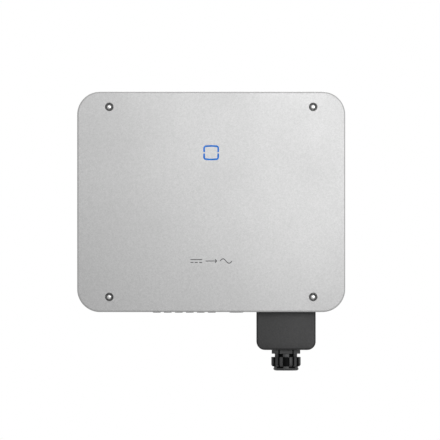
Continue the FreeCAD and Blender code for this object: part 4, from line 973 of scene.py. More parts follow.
def printed_symbol_shape(symbol, face):
    """Converter symbol: direct current, an arrow and one period of a sine wave, in lines of even width."""
    half, line = symbol.width / 2, symbol.line / 2
    section = np.array([(line, -0.05), (line, 0.08), (line * 0.9, 0.12), (-line * 0.9, 0.12), (-line, 0.08),
                        (-line, -0.05)])
    side = symbol.width * 0.28
    level = symbol.height * 0.27

    def stroke(*points):
        """A printed line through these points."""
        return bead(resampled(np.array(points, float), 0.8), section, face, round_ends=symbol.line * 0.45)

    left = -half + line
    dash = side * 0.26
    lines = [stroke((left, level), (left + side, level))]
    for k in range(3):
        start = left + k * (side - dash) / 2
        lines.append(stroke((start, -level), (start + dash, -level)))
    reach, barb = symbol.width * 0.13, symbol.height * 0.33
    lines.append(stroke((-reach, 0), (reach - 1.2, 0)))
    lines.append(stroke((reach - barb, barb), (reach, 0), (reach - barb, -barb)))
    x = np.linspace(0, 1, 60)
    wave = np.stack([half - line - side + side * x, (symbol.height / 2 - line) * np.sin(TAU * x)], -1)
    lines.append(bead(resampled(wave, 0.6), section, face, round_ends=symbol.line * 0.45))
    return joined(lines).moved(z=-symbol.drop)


# ---- enclosure ------------------------------------------------------------------------------------

def tub_shape():
    """Enclosure: one closed profile, lip, side, rounded back edge and inside, carried round its outline."""
    low, high = span("enclosure_tub")
    front, back = low[1], high[1]
    a = np.linspace(0, TAU / 4, 7)
    rear = np.stack([4.0 * (1 - np.sin(a[::-1])), back - 4.0 * (1 - np.cos(a[::-1]))], -1)
    rows = np.concatenate([
        [(22.0, front + 0.4), (21.6, front), (1.6, front), (1.2, front), (0.35, front + 0.35),
         (0.0, front + 1.2), (0.0, front + 2.0), (0.0, back - 5.0)], rear,
        [(5.0, back), (60.0, back), (60.0, back - 3.0), (3.0, back - 3.0), (3.0, front + 3.0),
         (22.0, front + 3.0)]])
    return stack([(low[0] + i, high[0] - i, low[2] + i, high[2] - i, max(24.0 - i, 3.0), y) for i, y in rows],
                 steps=16, along=True, caps=False)


def lid_shape():
    """Lid: a plate with a rounded rim and a pressed-out middle with a sloping side."""
    low, high = span("enclosure_lid")
    plate, raised = high[1] - 3.0, low[1]
    back = high[1]

    def at(inset, level):
        """The outline, drawn in by the inset, at a level."""
        corner = max(21.0 - inset, 3.0) if inset < 30 else max(30.0 - (inset - 57.0), 4.0)
        return low[0] + inset, high[0] - inset, low[2] + inset, high[2] - inset, corner, level

    rows = [at(20.0, back), at(0.4, back), at(0.0, back - 0.4), at(0.0, plate + 0.9), at(0.25, plate + 0.3),
            at(0.8, plate), at(1.3, plate), at(54.0, plate), at(55.0, plate - 0.15), at(55.8, plate - 0.6),
            at(57.2, raised + 0.6), at(58.0, raised + 0.15), at(59.0, raised), at(60.0, raised)]
    return stack(rows, steps=14)


def socket_screw_shape(radius, head, shank, socket, drop):
    """Round-headed screw: a domed rim round a hexagonal socket, and a plain shank."""
    segments = 24
    rim = np.array([(radius * 0.97, 0.0), (radius, 0.3), (radius, head - 0.9), (radius * 0.96, head - 0.35),
                    (radius * 0.86, head - 0.05), (radius * 0.75, head)])
    hexa = hexagon(socket, segments)
    radii = np.concatenate([np.repeat(rim[:, :1], segments, 1), [hexa * 1.08, hexa, hexa * 0.98]])
    heights = np.concatenate([rim[:, 1], [head, head - 0.25, head * 0.45]])
    top = lathe(radii, heights, segments)
    pin = lathe(*profile((shank, -drop), (shank, 0.05)), segments=16)
    return joined([top, pin])


def handles_shape():
    """All four handles."""
    low, high = span("side_handles")
    y = centre("side_handles")[1]
    bar_radius, bend, half = 5.0, 14.0, 55.0
    reach, wall = high[0] - bar_radius, SIDE_WALL
    a = np.linspace(0, TAU / 4, 14)
    lower = np.stack([reach - bend + bend * np.sin(a), -half + bend - bend * np.cos(a)], -1)
    upper = np.stack([reach - bend + bend * np.cos(a), half - bend + bend * np.sin(a)], -1)
    ends = [(wall + 1.0, half), (wall + 9.0, half)]
    path = np.concatenate([[(x, -z) for x, z in ends], lower, upper, ends[::-1]])
    bar = bead(path, circle(0, 0, bar_radius, 24), y)
    pieces = [bar]
    for z in (-half, half):
        pad = rounded_slab(-18, 18, -9, 9, 6.0, 0.0, 3.0, 0.8, upright=False)
        pad = pad.turned("Z", 90).turned("Y", 90).moved(wall, y, z)
        collar = lathe(*profile((7.6, 0), (7.6, 3.4), (6.8, 4.6), (bar_radius, 5.6)), 32)
        collar = facing_right(collar).moved(wall, y, z)
        screws = [facing_right(socket_screw_shape(3.5, 2.4, 2.0, 2.5, 2.0)).moved(wall + 3.0, y + dy, z)
                  for dy in (-12, 12)]
        pieces += [pad, collar, *screws]
    right = joined(pieces)
    level = (high[2] + low[2]) / 2
    offset = (high[2] - low[2]) / 2 - half - 9.0
    both = repeated(right, [(0, 0, level - offset), (0, 0, level + offset)])
    return joined([both, both.mirrored()])


# ---- junction box and glands ----------------------------------------------------------------------

def hood_shape(hood):
    """Junction box: level rounded rectangles that shrink towards the bottom.

    At height h above the bottom they are narrower by R - sqrt(R^2 - (R - h)^2) on each side, with the corner
    radius R, and shallower by the same with the edge radius.
    """
    low, high = span("ac_box_hood")
    x = centre("ac_box_hood")[0]
    front, back, bottom, top = low[1], high[1], low[2], high[2]

    def shrink(radius, h):
        """How far a corner of this radius draws in at a height."""
        return radius - np.sqrt(np.clip(radius ** 2 - np.clip(radius - h, 0, None) ** 2, 0, None))

    def rows(wall, levels):
        """Outlines inside a wall of this thickness, at heights above its floor."""
        half, corner = hood.half_width - wall, hood.corner - wall
        edge = max(hood.edge - wall, 1.5)
        made = []
        for h in levels:
            side, deep = shrink(corner, h), shrink(edge, h)
            made.append((x - half + side, x + half - side, front + wall + deep, back - wall - deep, edge,
                         bottom + wall + h))
        return made

    levels = (hood.corner * (1 - np.cos(np.linspace(0, TAU / 4, 22))))
    height = top - bottom
    outer = rows(0.0, [*levels, height - 8.0, height - 0.5])
    inner = rows(hood.wall, [*levels[levels < hood.corner - hood.wall], height - 8.0, height - hood.wall])
    shell = stack(outer + inner[::-1], steps=8, upright=False, caps=False)
    spot = (x, (front + back) / 2)
    hole = 31.1
    floors = [pierced(rectangle(*ring[:5], steps=8), [circle(*spot, hole, 64)], ring[5], upright=False)
              for ring in (outer[0], inner[0])]
    wall = lathe([hole, hole], [bottom, bottom + hood.wall], 64, caps=False).moved(*spot)
    flange = [rounded_slab(*sorted((x + s * (hood.half_width - 1.5), x + s * (hood.half_width + 12.0))),
                           front + 10.0, back, 3.0, top - 4.0, top, 0.5, upright=False) for s in (-1, 1)]
    return joined([shell, *floors, wall, *flange])


def gland_thread_shape(x, y, levels, thread, core, bore):
    """Gland's tube: threads above its face and below its neck, with a plain core between them.

    levels are the heights of its top, its face, the end of its neck and its bottom.
    """
    top, face, neck, low = levels
    segments = 72
    upper_r, upper_h = threaded(thread, face + 0.5, top, 1.5, segments, 0.5)
    lower_r, lower_h = threaded(thread - 0.3, low, neck, 1.5, segments, 0.45)
    middle = np.full((2, segments), core)
    inside_r = np.full((2, segments), bore)
    radii = np.concatenate([lower_r, middle, upper_r, inside_r])
    heights = np.concatenate([lower_h, (neck + 0.1, face + 0.4), upper_h, (top, low)])
    return lathe(radii, heights, segments, hollow=True).moved(x, y)


def near(segments, places, half):
    """1 within half a width of any of the places, in degrees round the circle, and 0 beyond a soft edge."""
    soft = 0.5
    a = np.degrees(angles(segments))
    away = np.abs((a[:, None] - np.asarray(places)[None, :] + 180) % 360 - 180).min(1)
    share = np.clip((half + soft - away) / (2 * soft), 0, 1)
    return share * share * (3 - 2 * share)


def gland_hexagon_shape(x, y, face, hex_low, neck, flats, core, pad):
    """Gland's hexagon, notched down its corners, over a neck that has a raised pad under each flat.

    The hexagon's radius less notch x near(corner), and the neck's is core + (pad - core) x near(flat).
    """
    segments = 360
    corners = 60 * np.arange(6)
    notch = near(segments, corners, 3.0)
    under = near(segments, corners + 30, 16.3)
    hexa = hexagon(flats, segments) - 1.2 * notch
    waist = core + (pad - core) * under
    inner = np.full(segments, core - 0.4)
    # shade is painted shade: on the neck between its pads, and down the hexagon's corner notches
    rows = [(inner, neck, 0), (waist - 0.4, neck, 1 - under), (waist, neck + 0.4, 1 - under),
            (waist, hex_low, 1 - under), (hexa - 0.8, hex_low, notch), (hexa - 0.15, hex_low + 0.25, notch),
            (hexa, hex_low + 0.8, notch), (hexa, face - 0.3, notch), (hexa - 0.3, face, notch),
            (inner, face, 0)]
    radii = np.array([r for r, _, _ in rows])
    shade = np.array([s + np.zeros(segments) for _, _, s in rows])
    return lathe(radii, [h for _, h, _ in rows], segments, hollow=True, shade=shade).moved(x, y)


def ribbed_nut_shape(gland, x, y, top, low, outer, collar, mouth, thread, seat):
    """Dome nut: six pairs of grip ribs over deep pockets, a collar recessed under each pair, a round rim.

    The radius at each height mixes those of a rib, of the gap in a pair, and of the wide pocket, by near().
    """
    segments = 432
    half = math.degrees(gland.rib_width / 2 / outer)
    pairs = 60 * np.arange(6)
    rib = near(segments, np.concatenate([pairs + 10.3, pairs - 10.3]), half)
    pair = near(segments, pairs, 17.0)
    floor, dip = outer - gland.rib_depth, collar - 1.5
    shoulder = low + 0.405 * (top - low)
    end = shoulder - 3.6
    rim = end - 4.6
    a = np.linspace(0, TAU / 4, 7)[1:]
    rounding = rim - 1.2 - low
    rows = [(thread + 0.5, floor - 0.6, floor - 0.6, top, 0), (outer - 1.2, floor, floor, top, 0),
            (outer - 0.35, floor, floor, top - 0.4, 1), (outer, floor, floor, top - 1.2, 1),
            (outer, floor, floor, shoulder + 1.0, 1), (outer - 0.15, floor, floor, shoulder, 1),
            (outer - 2.6, floor, floor, shoulder - 2.6, 1), (outer - 3.7, floor, floor, end, 1),
            (dip, dip, collar, end - 0.1, 2), (dip, dip, collar, rim + 0.3, 2),
            (collar, collar, collar, rim, 0), (collar, collar, collar, rim - 1.2, 0)]
    radii = [g + (r - g) * rib + (w - g) * (1 - rib) * (1 - pair) for r, g, w, _, _ in rows]
    # shade is painted shade: 1 in the pockets beside the ribs, and in the collar's recess under each pair
    shade = [{0: 0 * rib, 1: 1 - rib, 2: pair}[kind] for *_, kind in rows]
    heights = [h for *_, h, _ in rows] + list(rim - 1.2 - rounding * np.sin(a))
    radii += [np.full(segments, r) for r in collar - 6.0 * (1 - np.cos(a))]
    home = [(mouth + 0.8, low), (mouth + 0.2, low + 0.3), (mouth, low + 1.0), (mouth, seat),
            (thread + 0.1, seat), (thread + 0.1, top)]
    radii += [np.full(segments, r) for r, _ in home]
    heights += [h for _, h in home]
    # painted shade: none on the rounded rim, and half on the inside
    shade += [np.zeros(segments)] * len(a) + [np.full(segments, 0.5)] * len(home)
    return lathe(np.array(radii), heights, segments, hollow=True, shade=np.array(shade)).moved(x, y)


def hex_nut_shape(x, y, top, low, flats, mouth, thread, seat):
    """Hexagonal dome nut: a hexagon that rounds into its lower end."""
    segments = 96
    face = hexagon(flats, segments)
    rise = np.sin(np.linspace(0, TAU / 4, 8))
    limit = flats / 2 * np.concatenate([[1.02, 1.1, 2.0, 2.0], (0.80 + 0.40 * rise)[::-1]])
    outer = np.minimum(face, limit[:, None])
    heights = np.concatenate([[top, top - 0.8, top - 1.6, low + 7.0], low + 6.5 * (1 - rise)])
    home = np.array([(mouth + 0.6, low), (mouth, low + 0.8), (mouth, seat), (thread + 0.1, seat),
                     (thread + 0.1, top)])
    radii = np.concatenate([outer, np.repeat(home[:, :1], segments, 1)])
    return lathe(radii, np.concatenate([heights, home[:, 1]]), segments, hollow=True).moved(x, y)


def seal_shape(node, bore):
    """Seal: a ring with two shallow waists inside, where it grips the cable."""
    low, high = span(node)
    x, y, _ = centre(node)
    outer = (high[0] - low[0]) / 2
    t = np.linspace(0, 1, 15)
    inner = bore + 0.35 * np.cos(TAU * 3 * t) ** 2
    radii = np.concatenate([[outer - 0.4, outer, outer, outer - 0.4], inner])
    bottom, top = low[2], high[2]
    heights = np.concatenate([[bottom, bottom + 0.4, top - 0.4, top], top + (bottom - top) * t])
    return lathe(radii, heights, 64, hollow=True).moved(x, y)


def ring_shape(node, bore):
    """Flat washer with rounded edges."""
    low, high = span(node)
    x, y, _ = centre(node)
    outer = (high[0] - low[0]) / 2
    bottom, top = low[2], high[2]
    rows = profile((outer - 0.2, bottom), (outer, bottom + 0.2), (outer, top - 0.2), (outer - 0.2, top),
                   (bore, top), (bore, bottom))
    return lathe(*rows, segments=64, hollow=True).moved(x, y)


# ---- connectors, isolator and small fittings --------------------------------------------------------

def socket_shape(plug, low, high):
    """Panel socket: flange, ribbed collar and barrel with two latch windows, and a stepped bore."""
    segments = 72
    floor, end = UNDERSIDE, low[2]
    flange = (high[0] - low[0] - 5 * plug.pitch) / 2
    barrel, seat = flange - 1.8, plug.bore - 1.2
    ribs = 0.5 * (0.5 + 0.5 * np.cos(12 * angles(segments)))
    window = np.exp(-(np.sin(angles(segments)) / 0.26) ** 4)
    rows = [(barrel - 0.5, end, 0), (barrel - 0.1, end + 0.2, 0), (barrel, end + 0.7, 0),
            (barrel, end + 7.6, 0), (barrel, end + 8.0, 1), (barrel, end + 16.0, 1), (barrel, end + 16.4, 0),
            (barrel, floor - 12.4, 0),
            (barrel + 0.9, floor - 12.0, 2), (barrel + 0.9, floor - 4.2, 2), (barrel + 0.9, floor - 3.6, 0),
            (flange, floor - 3.2, 0), (flange, floor - 0.3, 0), (flange - 0.2, floor, 0),
            (7.9, floor, 0), (7.9, high[2], 0), (2.3, high[2], 0), (2.3, end + 27.0, 0),
            (seat, end + 27.0, 0), (seat, end + 20.0, 0), (plug.bore, end + 20.0, 0),
            (plug.bore, end + 0.7, 0), (plug.bore + 0.5, end, 0)]
    return patterned_lathe(rows, {1: -1.6 * window, 2: ribs}, segments, hollow=True)


def nose_shape(plug, low, high):
    """Panel plug: flange, ribbed shoulder, and a slender nose with a sealing ring and a tapered tip."""
    segments = 60
    floor, end, nose = UNDERSIDE, low[2], plug.nose
    ribs = 0.4 * (0.5 + 0.5 * np.cos(12 * angles(segments)))
    rows = [(2.4, end, 0), (nose - 0.9, end, 0), (nose - 0.3, end + 0.5, 0), (nose, end + 1.4, 0),
            (nose, end + 16.0, 0), (nose - 0.8, end + 16.4, 0), (nose - 0.8, end + 17.6, 0),
            (nose, end + 18.0, 0), (nose, floor - 7.2, 0), (9.2, floor - 7.0, 0), (9.7, floor - 6.4, 1),
            (9.7, floor - 3.8, 1), (9.7, floor - 3.4, 0), (11.7, floor - 3.0, 0), (12.0, floor - 2.6, 0),
            (12.0, floor - 0.3, 0), (11.8, floor, 0), (7.9, floor, 0), (7.9, high[2], 0), (2.4, high[2], 0)]
    return patterned_lathe(rows, {1: ribs}, segments, hollow=True)


def knob_shape(low, high):
    """Isolator knob: a fluted disc, and a grip bar whose sides draw in, with a padlock hole through it."""
    segments = 96
    x, y = (low[0] + high[0]) / 2, (low[1] + high[1]) / 2
    radius = (high[0] - low[0]) / 2
    top, bottom = high[2] - 24.4, low[2]
    flutes = 0.5 * np.cos(24 * angles(segments)) - 0.5
    rows = [(radius - 1.4, top - 6.6, 0), (radius - 0.5, top - 6.2, 1), (radius, top - 5.4, 1),
            (radius, top - 0.8, 1), (radius - 0.6, top, 0)]
    disc = patterned_lathe(rows, {1: flutes}, segments)
    shaft = lathe(*profile((5.0, top - 1.0), (5.0, high[2] - 0.4), (4.6, high[2])), segments=32)
    half_width, half_length, corner = 7.0, 22.0, 3.2
    side = [(1.6, bottom), (0.6, bottom + 0.3), (0.1, bottom + 1.2), (0.0, bottom + 2.4), (0.0, top - 9.0),
            (-0.4, top - 7.4), (-1.6, top - 6.2)]
    grip = stack([(s - half_width, half_width - s, s - half_length, half_length - s, corner - s / 2, level)
                  for s, level in side], steps=6, upright=False)
    mark = rounded_slab(-1.1, 1.1, -19.0, -9.0, 1.0, bottom - 0.25, bottom + 0.5, 0.2, 4, upright=False)
    return joined([disc, shaft, grip]).moved(x, y), mark.moved(x, y)


def dial_marks_shape(x, y, z):
    """On and off marks beside the knob: a bar and a ring, as raised print."""
    ring = lathe(*profile((2.6, 0.0), (2.6, -0.25), (1.7, -0.25), (1.7, 0.0)), segments=32, hollow=True)
    bar = rounded_slab(-0.45, 0.45, -2.6, 2.6, 0.4, -0.25, 0.0, 0.08, 4, upright=False)
    return joined([ring.moved(x, y - 27.6, z), bar.moved(x + 27.6, y, z)])


def knurled_cap_shape(radius, low, high, grooves):
    """Round cap with grip grooves: the radius dips by 0.9 x cos^8 of half the groove angle."""
    segments = 96
    dips = 0.9 * np.cos(grooves * angles(segments) / 2) ** 8
    rows = [(radius - 2.4, low, 0), (radius - 0.8, low + 0.3, 0), (radius - 0.1, low + 1.4, 1),
            (radius, low + 2.2, 1), (radius, high - 1.6, 1), (radius - 0.2, high - 0.6, 0),
            (radius - 0.8, high, 0)]
    return patterned_lathe(rows, {1: -dips}, segments)


def radio_port_shape():
    """Port for a radio stick: a short tube through the enclosure's underside, and its cap."""
    low, high = span("dongle_port")
    x, y, _ = centre("dongle_port")
    floor = UNDERSIDE
    cap = knurled_cap_shape(12.0, low[2], low[2] + 18.0, 18)
    port = lathe(*profile((9.5, floor - 17.0), (9.5, floor - 3.0), (12.6, floor - 3.0), (13.0, floor - 2.6),
                          (13.0, floor - 0.3), (12.7, floor), (8.0, floor), (8.0, high[2])), 48)
    return joined([cap, port]).moved(x, y)


def vent_shape():
    """Pressure vent: a low plug whose side is cut by six slots."""
    low, high = span("pressure_vent")
    x, y, _ = centre("pressure_vent")
    segments, end = 72, low[2]
    slots = 1.6 * (np.cos(6 * angles(segments)) > 0.86)
    rows = [(5.0, end, 0), (7.2, end + 0.1, 0), (8.3, end + 0.8, 0), (9.0, end + 2.2, 0), (9.0, end + 4.0, 0),
            (9.0, end + 4.2, 1), (9.0, end + 5.8, 1), (9.0, end + 6.0, 0), (9.0, end + 7.0, 0),
            (6.0, end + 7.0, 0), (6.0, high[2], 0)]
    return patterned_lathe(rows, {1: -slots}, segments).moved(x, y)


def earth_shape():
    """Earth terminal: a boss, a washer, a chamfered nut and a threaded stud, pointing to the right."""
    _, high = span("earth_terminal")
    _, y, z = centre("earth_terminal")
    wall = SIDE_WALL
    boss = lathe(*profile((9.0, 0), (9.0, 1.6), (8.6, 2.0)), 48)
    washer = lathe(*profile((6.5, 2.0), (6.5, 3.2), (6.3, 3.4), (3.1, 3.4), (3.1, 2.0)), 40, hollow=True)
    nut = hex_head(10.0, 3.4, 8.4, bore=2.9)
    stud = lathe(*threaded(3.0, -8.0, high[0] - wall, 1.0, 24, 0.5), segments=24)
    return facing_right(joined([washer, nut, stud])).moved(wall, y, z), facing_right(boss).moved(wall, y, z)


# ---- fans -----------------------------------------------------------------------------------------

def rotor_shape(fan, node):
    """Fan rotor: a domed hub and curved blades.

    At share s along a blade and share c across it, the angle is sweep x s^1.4 + chord x (c - 0.5), and the
    height is pitch x (c - 0.5) plus a camber of (1 - 4 (c - 0.5)^2). Chord, pitch and camber lessen with s.
    """
    low, high = span(node)
    x, y, z = centre(node)
    half = (high[2] - low[2]) / 2
    hub = lathe(*profile((fan.hub - 3.0, -half), (fan.hub - 0.6, -half + 0.4), (fan.hub, -half + 1.4),
                         (fan.hub, half - 1.2), (fan.hub - 0.4, half - 0.4), (fan.hub - 1.4, half),
                         (fan.hub - 5.0, half), (fan.hub - 5.3, half - 0.6), (fan.hub - 8.0, half - 0.6)), 64)
    s = np.linspace(0, 1, 14)[:, None]
    loop = np.concatenate([np.linspace(0, 1, 11), np.linspace(1, 0, 11)[1:-1]])[None, :]
    skin = np.concatenate([np.ones(11), -np.ones(9)])[None, :]
    skin[0, 0] = skin[0, 10] = 0.0
    c = loop - 0.5
    radius = fan.hub - 1.0 + (fan.tip - fan.hub + 1.0) * s
    spread = np.radians(44 - 6 * s)
    turn = np.radians(16) * s ** 1.4 + spread * c
    thickness = 0.9 * np.sqrt(np.clip(1 - (2 * c) ** 2, 0, 1)) * (1.25 - 0.5 * s)
    camber = 2.2 * (1 - 4 * c ** 2) * (1 - 0.4 * s)
    height = (half - 1.6) * 2 * (0.86 - 0.22 * s) * c + camber + skin * thickness
    height = np.clip(height, -half + 0.4, half - 0.4)
    points = np.stack([radius * np.cos(turn), radius * np.sin(turn), height + 0 * turn], -1)
    blade = grid(points)
    blades = [blade.turned("Z", 360 / fan.blades * k) for k in range(fan.blades)]
    return joined([hub, *blades]).moved(x, y, z)


def guard_shape(fan):
    """Finger guards: rings of round wire on two crossed wires, with an eye at each end."""
    _, y, z = centre("fan_guards")
    wire = fan.wire
    a = angles(10)

    def torus(radius):
        """A ring of wire."""
        thick = wire * 0.95
        return lathe(radius + thick * np.cos(a), thick * np.sin(a), 72, hollow=True)

    rings = [torus(r) for r in (11, 19, 27, 35, 43)]
    run = np.linspace(-52.0, 52.0, 40)
    spokes = []
    for degrees in (45, 135):
        rows = np.stack([np.stack([np.full(10, t), wire * np.cos(a), wire * np.sin(a)], -1) for t in run])
        spokes.append(grid(rows).turned("Z", degrees))
    eyes = [torus(2.6).moved(51.5 * math.cos(t), 51.5 * math.sin(t))
            for t in np.radians([45, 135, 225, 315])]
    guard = joined([*rings, *spokes, *eyes])
    return repeated(guard, [(place["x"], y, z) for place in fan_places()])


def fan_places():
    """The three fans' nodes and bodies, with the X of each axis."""
    return [{"node": f"fan_rotor_{side}", "body": f"fan_{side}_body", "x": centre(f"fan_rotor_{side}")[0]}
            for side in ("left", "middle", "right")]


# ---- fasteners ------------------------------------------------------------------------------------

def bracket_fasteners_shape():
    """The wall bracket's four bolts with washers, and its two locking screws."""
    _, high = span("bracket_bolts")
    bolt_x, bolt_z, lock_y, lock_z = 192.0, 180.0, -15.0, -178.0
    bolt = facing_front(joined([hex_head(13.0, 5.0, 10.5), lathe(*profile((8.0, 4.98), (8.0, 5.6)), 32),
                                lathe(*profile((4.0, 0.5), (4.0, 5.2)), 24)]))
    bolts = repeated(bolt, [(sx * bolt_x, 0, sz * bolt_z) for sx in (-1, 1) for sz in (-1, 1)])
    knob = lathe(*profile((5.3, 253.0), (5.5, 253.2), (5.5, high[0] - 0.6), (4.9, high[0])), 32)
    shank = lathe(*threaded(3.0, 240.0, 253.1, 1.0, 24, 0.5), segments=24)
    lock = facing_right(joined([knob, shank])).moved(0, lock_y, lock_z)
    return joined([bolts, lock, lock.mirrored()])


def duct_screws_shape():
    """Pan-headed screws, five up each side of the air duct."""
    side, level, lowest, pitch = 284.0, -135.5, -225.0, 115
    pan = lathe(*profile((3.5, 0.0), (3.6, 0.3), (3.6, 1.2), (3.1, 2.1), (2.0, 2.6)), 24).turned("X", -90)
    return repeated(pan, [(s * side, level, lowest + pitch * k) for s in (-1, 1) for k in range(5)])


def terminal_studs_shape():
    """The mains terminal's five studs, each with a washer and a nut."""
    low, high = span("ac_terminal_studs")
    _, _, z = centre("ac_terminal_studs")
    middle, pitch = 196.5, 27.0
    reach = high[1] - low[1]
    nut_top = reach - 17.9
    washer = profile((8.0, reach - 26.0), (8.0, reach - 24.5), (4.1, reach - 24.4), (4.1, reach - 26.0))
    stud = facing_front(joined([lathe(*threaded(4.0, 0.0, reach, 1.25, 24, 0.6), segments=24),
                                hex_head(13.0, nut_top - 6.5, nut_top, bore=3.8),
                                lathe(*washer, 36, hollow=True)]))
    return repeated(stud, [(middle + pitch * (k - 2), high[1], z) for k in range(5)])


# ---- operators ------------------------------------------------------------------------------------

class INVERTER_OT_finishes(bpy.types.Operator):
    """Make the materials, and put one on each CAD piece that still shows"""
    bl_idname = "inverter.finishes"
    bl_label = "Finishes"

    def execute(self, context):
        c = context.scene.inverter_colours
        opaque = {name: (*getattr(c, name), 1.0) for name in (
            "silver", "dark", "nylon", "cup", "rubber", "steel", "zinc", "aluminium", "light", "ink",
            "copper", "board", "floor")}
        FINISHES.update(
            silver=powder_coat("silver_powder_coat", opaque["silver"], metallic=0.25, roughness=0.42,
                               contrast=0.16, grain=1100.0, relief=0.25, dust=0.02),
            dark=powder_coat("dark_powder_coat", opaque["dark"], metallic=0.0, roughness=0.48, contrast=0.9,
                             grain=1400.0, relief=1.0, dust=0.04),
            nylon=moulded("black_nylon", opaque["nylon"], 0.46, dust=0.08, painted_shade=1.0, ior=1.6),
            cup=moulded("cup_nylon", opaque["cup"], 0.5),
            rubber=rubber("seal_rubber", opaque["rubber"]),
            steel=drawn_metal("stainless_steel", opaque["steel"], 0.2, turn=1.0, scale=900.0, relief=0.05),
            # stainless steel made 1.35 times lighter for the cover screws: their polish is real, the extra
            # lightness paints a highlight onto them
            polished=drawn_metal("polished_steel", shaded(opaque["steel"], 1.35), 0.2, turn=1.0,
                                 scale=1200.0, relief=0.02),
            zinc=galvanised("galvanised_steel", opaque["zinc"]),
            aluminium=drawn_metal("extruded_aluminium", opaque["aluminium"], 0.38, scale=700.0, relief=0.2,
                                  dust=0.5),
            light=lit_plastic("status_light_blue", opaque["light"], glow=1.0),
            ink=moulded("printed_ink", opaque["ink"], 0.55),
            copper=drawn_metal("bare_copper", opaque["copper"], 0.3, scale=400.0, relief=0.1),
            tinned=drawn_metal("tinned_contact", (0.75, 0.74, 0.70, 1.0), 0.22, scale=900.0, relief=0.05),
            board=circuit_board("solder_mask", opaque["board"]),
            can=sleeved_can("capacitor_sleeve", (0.015, 0.02, 0.05, 1.0)),
            potting=moulded("potting_resin", (0.03, 0.03, 0.03, 1.0), 0.55, relief=0.5, grain=600.0),
            relay=moulded("relay_case", (0.45, 0.12, 0.02, 1.0), 0.35),
            module=moulded("module_case", (0.52, 0.50, 0.44, 1.0), 0.45),
            fan=moulded("fan_plastic", (0.018, 0.018, 0.019, 1.0), 0.38, dust=0.35),
            terminal=moulded("terminal_plastic", (0.24, 0.25, 0.25, 1.0), 0.45),
            floor=studio_floor("studio_floor", opaque["floor"]),
        )
        by_slot = {
            "silver_powder_coat": "silver", "dark_powder_coat": "dark", "black_nylon": "nylon",
            "rubber_seal": "rubber", "stainless": "steel", "zinc_steel": "zinc",
            "sink_aluminium": "aluminium", "status_light": "light", "copper": "copper",
            "tinned_contact": "tinned", "board_green": "board",
            "capacitor_sleeve": "can", "potting": "potting", "relay_case": "relay", "module_case": "module",
            "fan_plastic": "fan", "terminal_plastic": "terminal"}
        for name, node in frame["nodes"].items():
            node.data.materials.clear()
            node.data.materials.append(FINISHES[by_slot[slot_of_node(name)]])
        return {"FINISHED"}


class INVERTER_OT_front_cover(bpy.types.Operator):
    """Build the formed front cover"""
    bl_idname = "inverter.front_cover"
    bl_label = "Front cover"

    def execute(self, context):
        cover = settings(context, "cover")
        add_piece("front_cover_sheet", cover_shape(cover), FINISHES["silver"], "front_cover_body",
                  ["front_cover"], 50.0)
        return {"FINISHED"}


class INVERTER_OT_cover_screws(bpy.types.Operator):
    """Build the four screw cups and the domed screws in them"""
    bl_idname = "inverter.cover_screws"
    bl_label = "Cover screws"

    def execute(self, context):
        cover = settings(context, "cover")
        spots = [(x, 0, z) for x, z in cover_corners(cover)]
        cup = cup_shape(cover, *span("cover_screw_cups"))
        screw = domed_screw_shape(cover, *span("cover_screws"))
        add_piece("cover_screw_cup_liners", repeated(cup, spots), FINISHES["cup"], "front_cover_body",
                  ["cover_screw_cups"])
        add_piece("cover_domed_screws", repeated(screw, spots), FINISHES["polished"], "front_cover_body",
                  ["cover_screws"], 40.0)
        return {"FINISHED"}


class INVERTER_OT_status_light(bpy.types.Operator):
    """Build the lit ring of the status light"""
    bl_idname = "inverter.status_light"
    bl_label = "Status light"

    def execute(self, context):
        light = settings(context, "light")
        low, high = span("status_light_lens")
        add_piece("status_light_ring", light_ring_shape(light, low, high), FINISHES["light"],
                  "front_cover_body", ["status_light_lens"], 50.0)
        holder = rounded_slab(low[0], high[0], low[2], high[2], 4.0, high[1] - 2.0, high[1])
        add_piece("status_light_holder", holder, FINISHES["nylon"], "front_cover_body")
        return {"FINISHED"}


class INVERTER_OT_printed_symbol(bpy.types.Operator):
    """Print the direct-to-alternating-current symbol on the cover"""
    bl_idname = "inverter.printed_symbol"
    bl_label = "Printed symbol"

    def execute(self, context):
        symbol = settings(context, "symbol")
        low, _ = span("front_cover")
        add_piece("converter_symbol_print", printed_symbol_shape(symbol, low[1]), FINISHES["ink"],
                  "front_cover_body")
        return {"FINISHED"}


class INVERTER_OT_enclosure(bpy.types.Operator):
    """Build the enclosure and its lid with its screws"""
    bl_idname = "inverter.enclosure"
    bl_label = "Enclosure"

    def execute(self, context):
        add_piece("enclosure_casting", tub_shape(), FINISHES["dark"], "inverter_body", ["enclosure_tub"])
        add_piece("enclosure_lid_pressing", lid_shape(), FINISHES["dark"], "inverter_body", ["enclosure_lid"])
        low, high = span("enclosure_lid_screws")
        radius, head, pitch_x, pitch_z = 4.2, 3.4, 110.0, 96.0
        x, bottom, top = high[0] - radius, low[2] + radius, high[2] - radius
        steps = np.arange(5) - 2
        spots = [(pitch_x * k, 0, z) for k in steps for z in (top, bottom)]
        spots += [(s * x, 0, (top + bottom) / 2 + pitch_z * k) for k in steps for s in (-1, 1)]
        screw = socket_screw_shape(radius, head, shank=2.5, socket=3.0, drop=11.5)
        screw = facing_front(screw).moved(y=low[1] + head)
        add_piece("lid_socket_screws", repeated(screw, spots), FINISHES["steel"], "inverter_body",
                  ["enclosure_lid_screws"])
        return {"FINISHED"}


class INVERTER_OT_side_handles(bpy.types.Operator):
    """Build the four lifting handles"""
    bl_idname = "inverter.side_handles"
    bl_label = "Side handles"

    def execute(self, context):
        add_piece("lifting_handles", handles_shape(), FINISHES["dark"], "inverter_body", ["side_handles"])
        return {"FINISHED"}


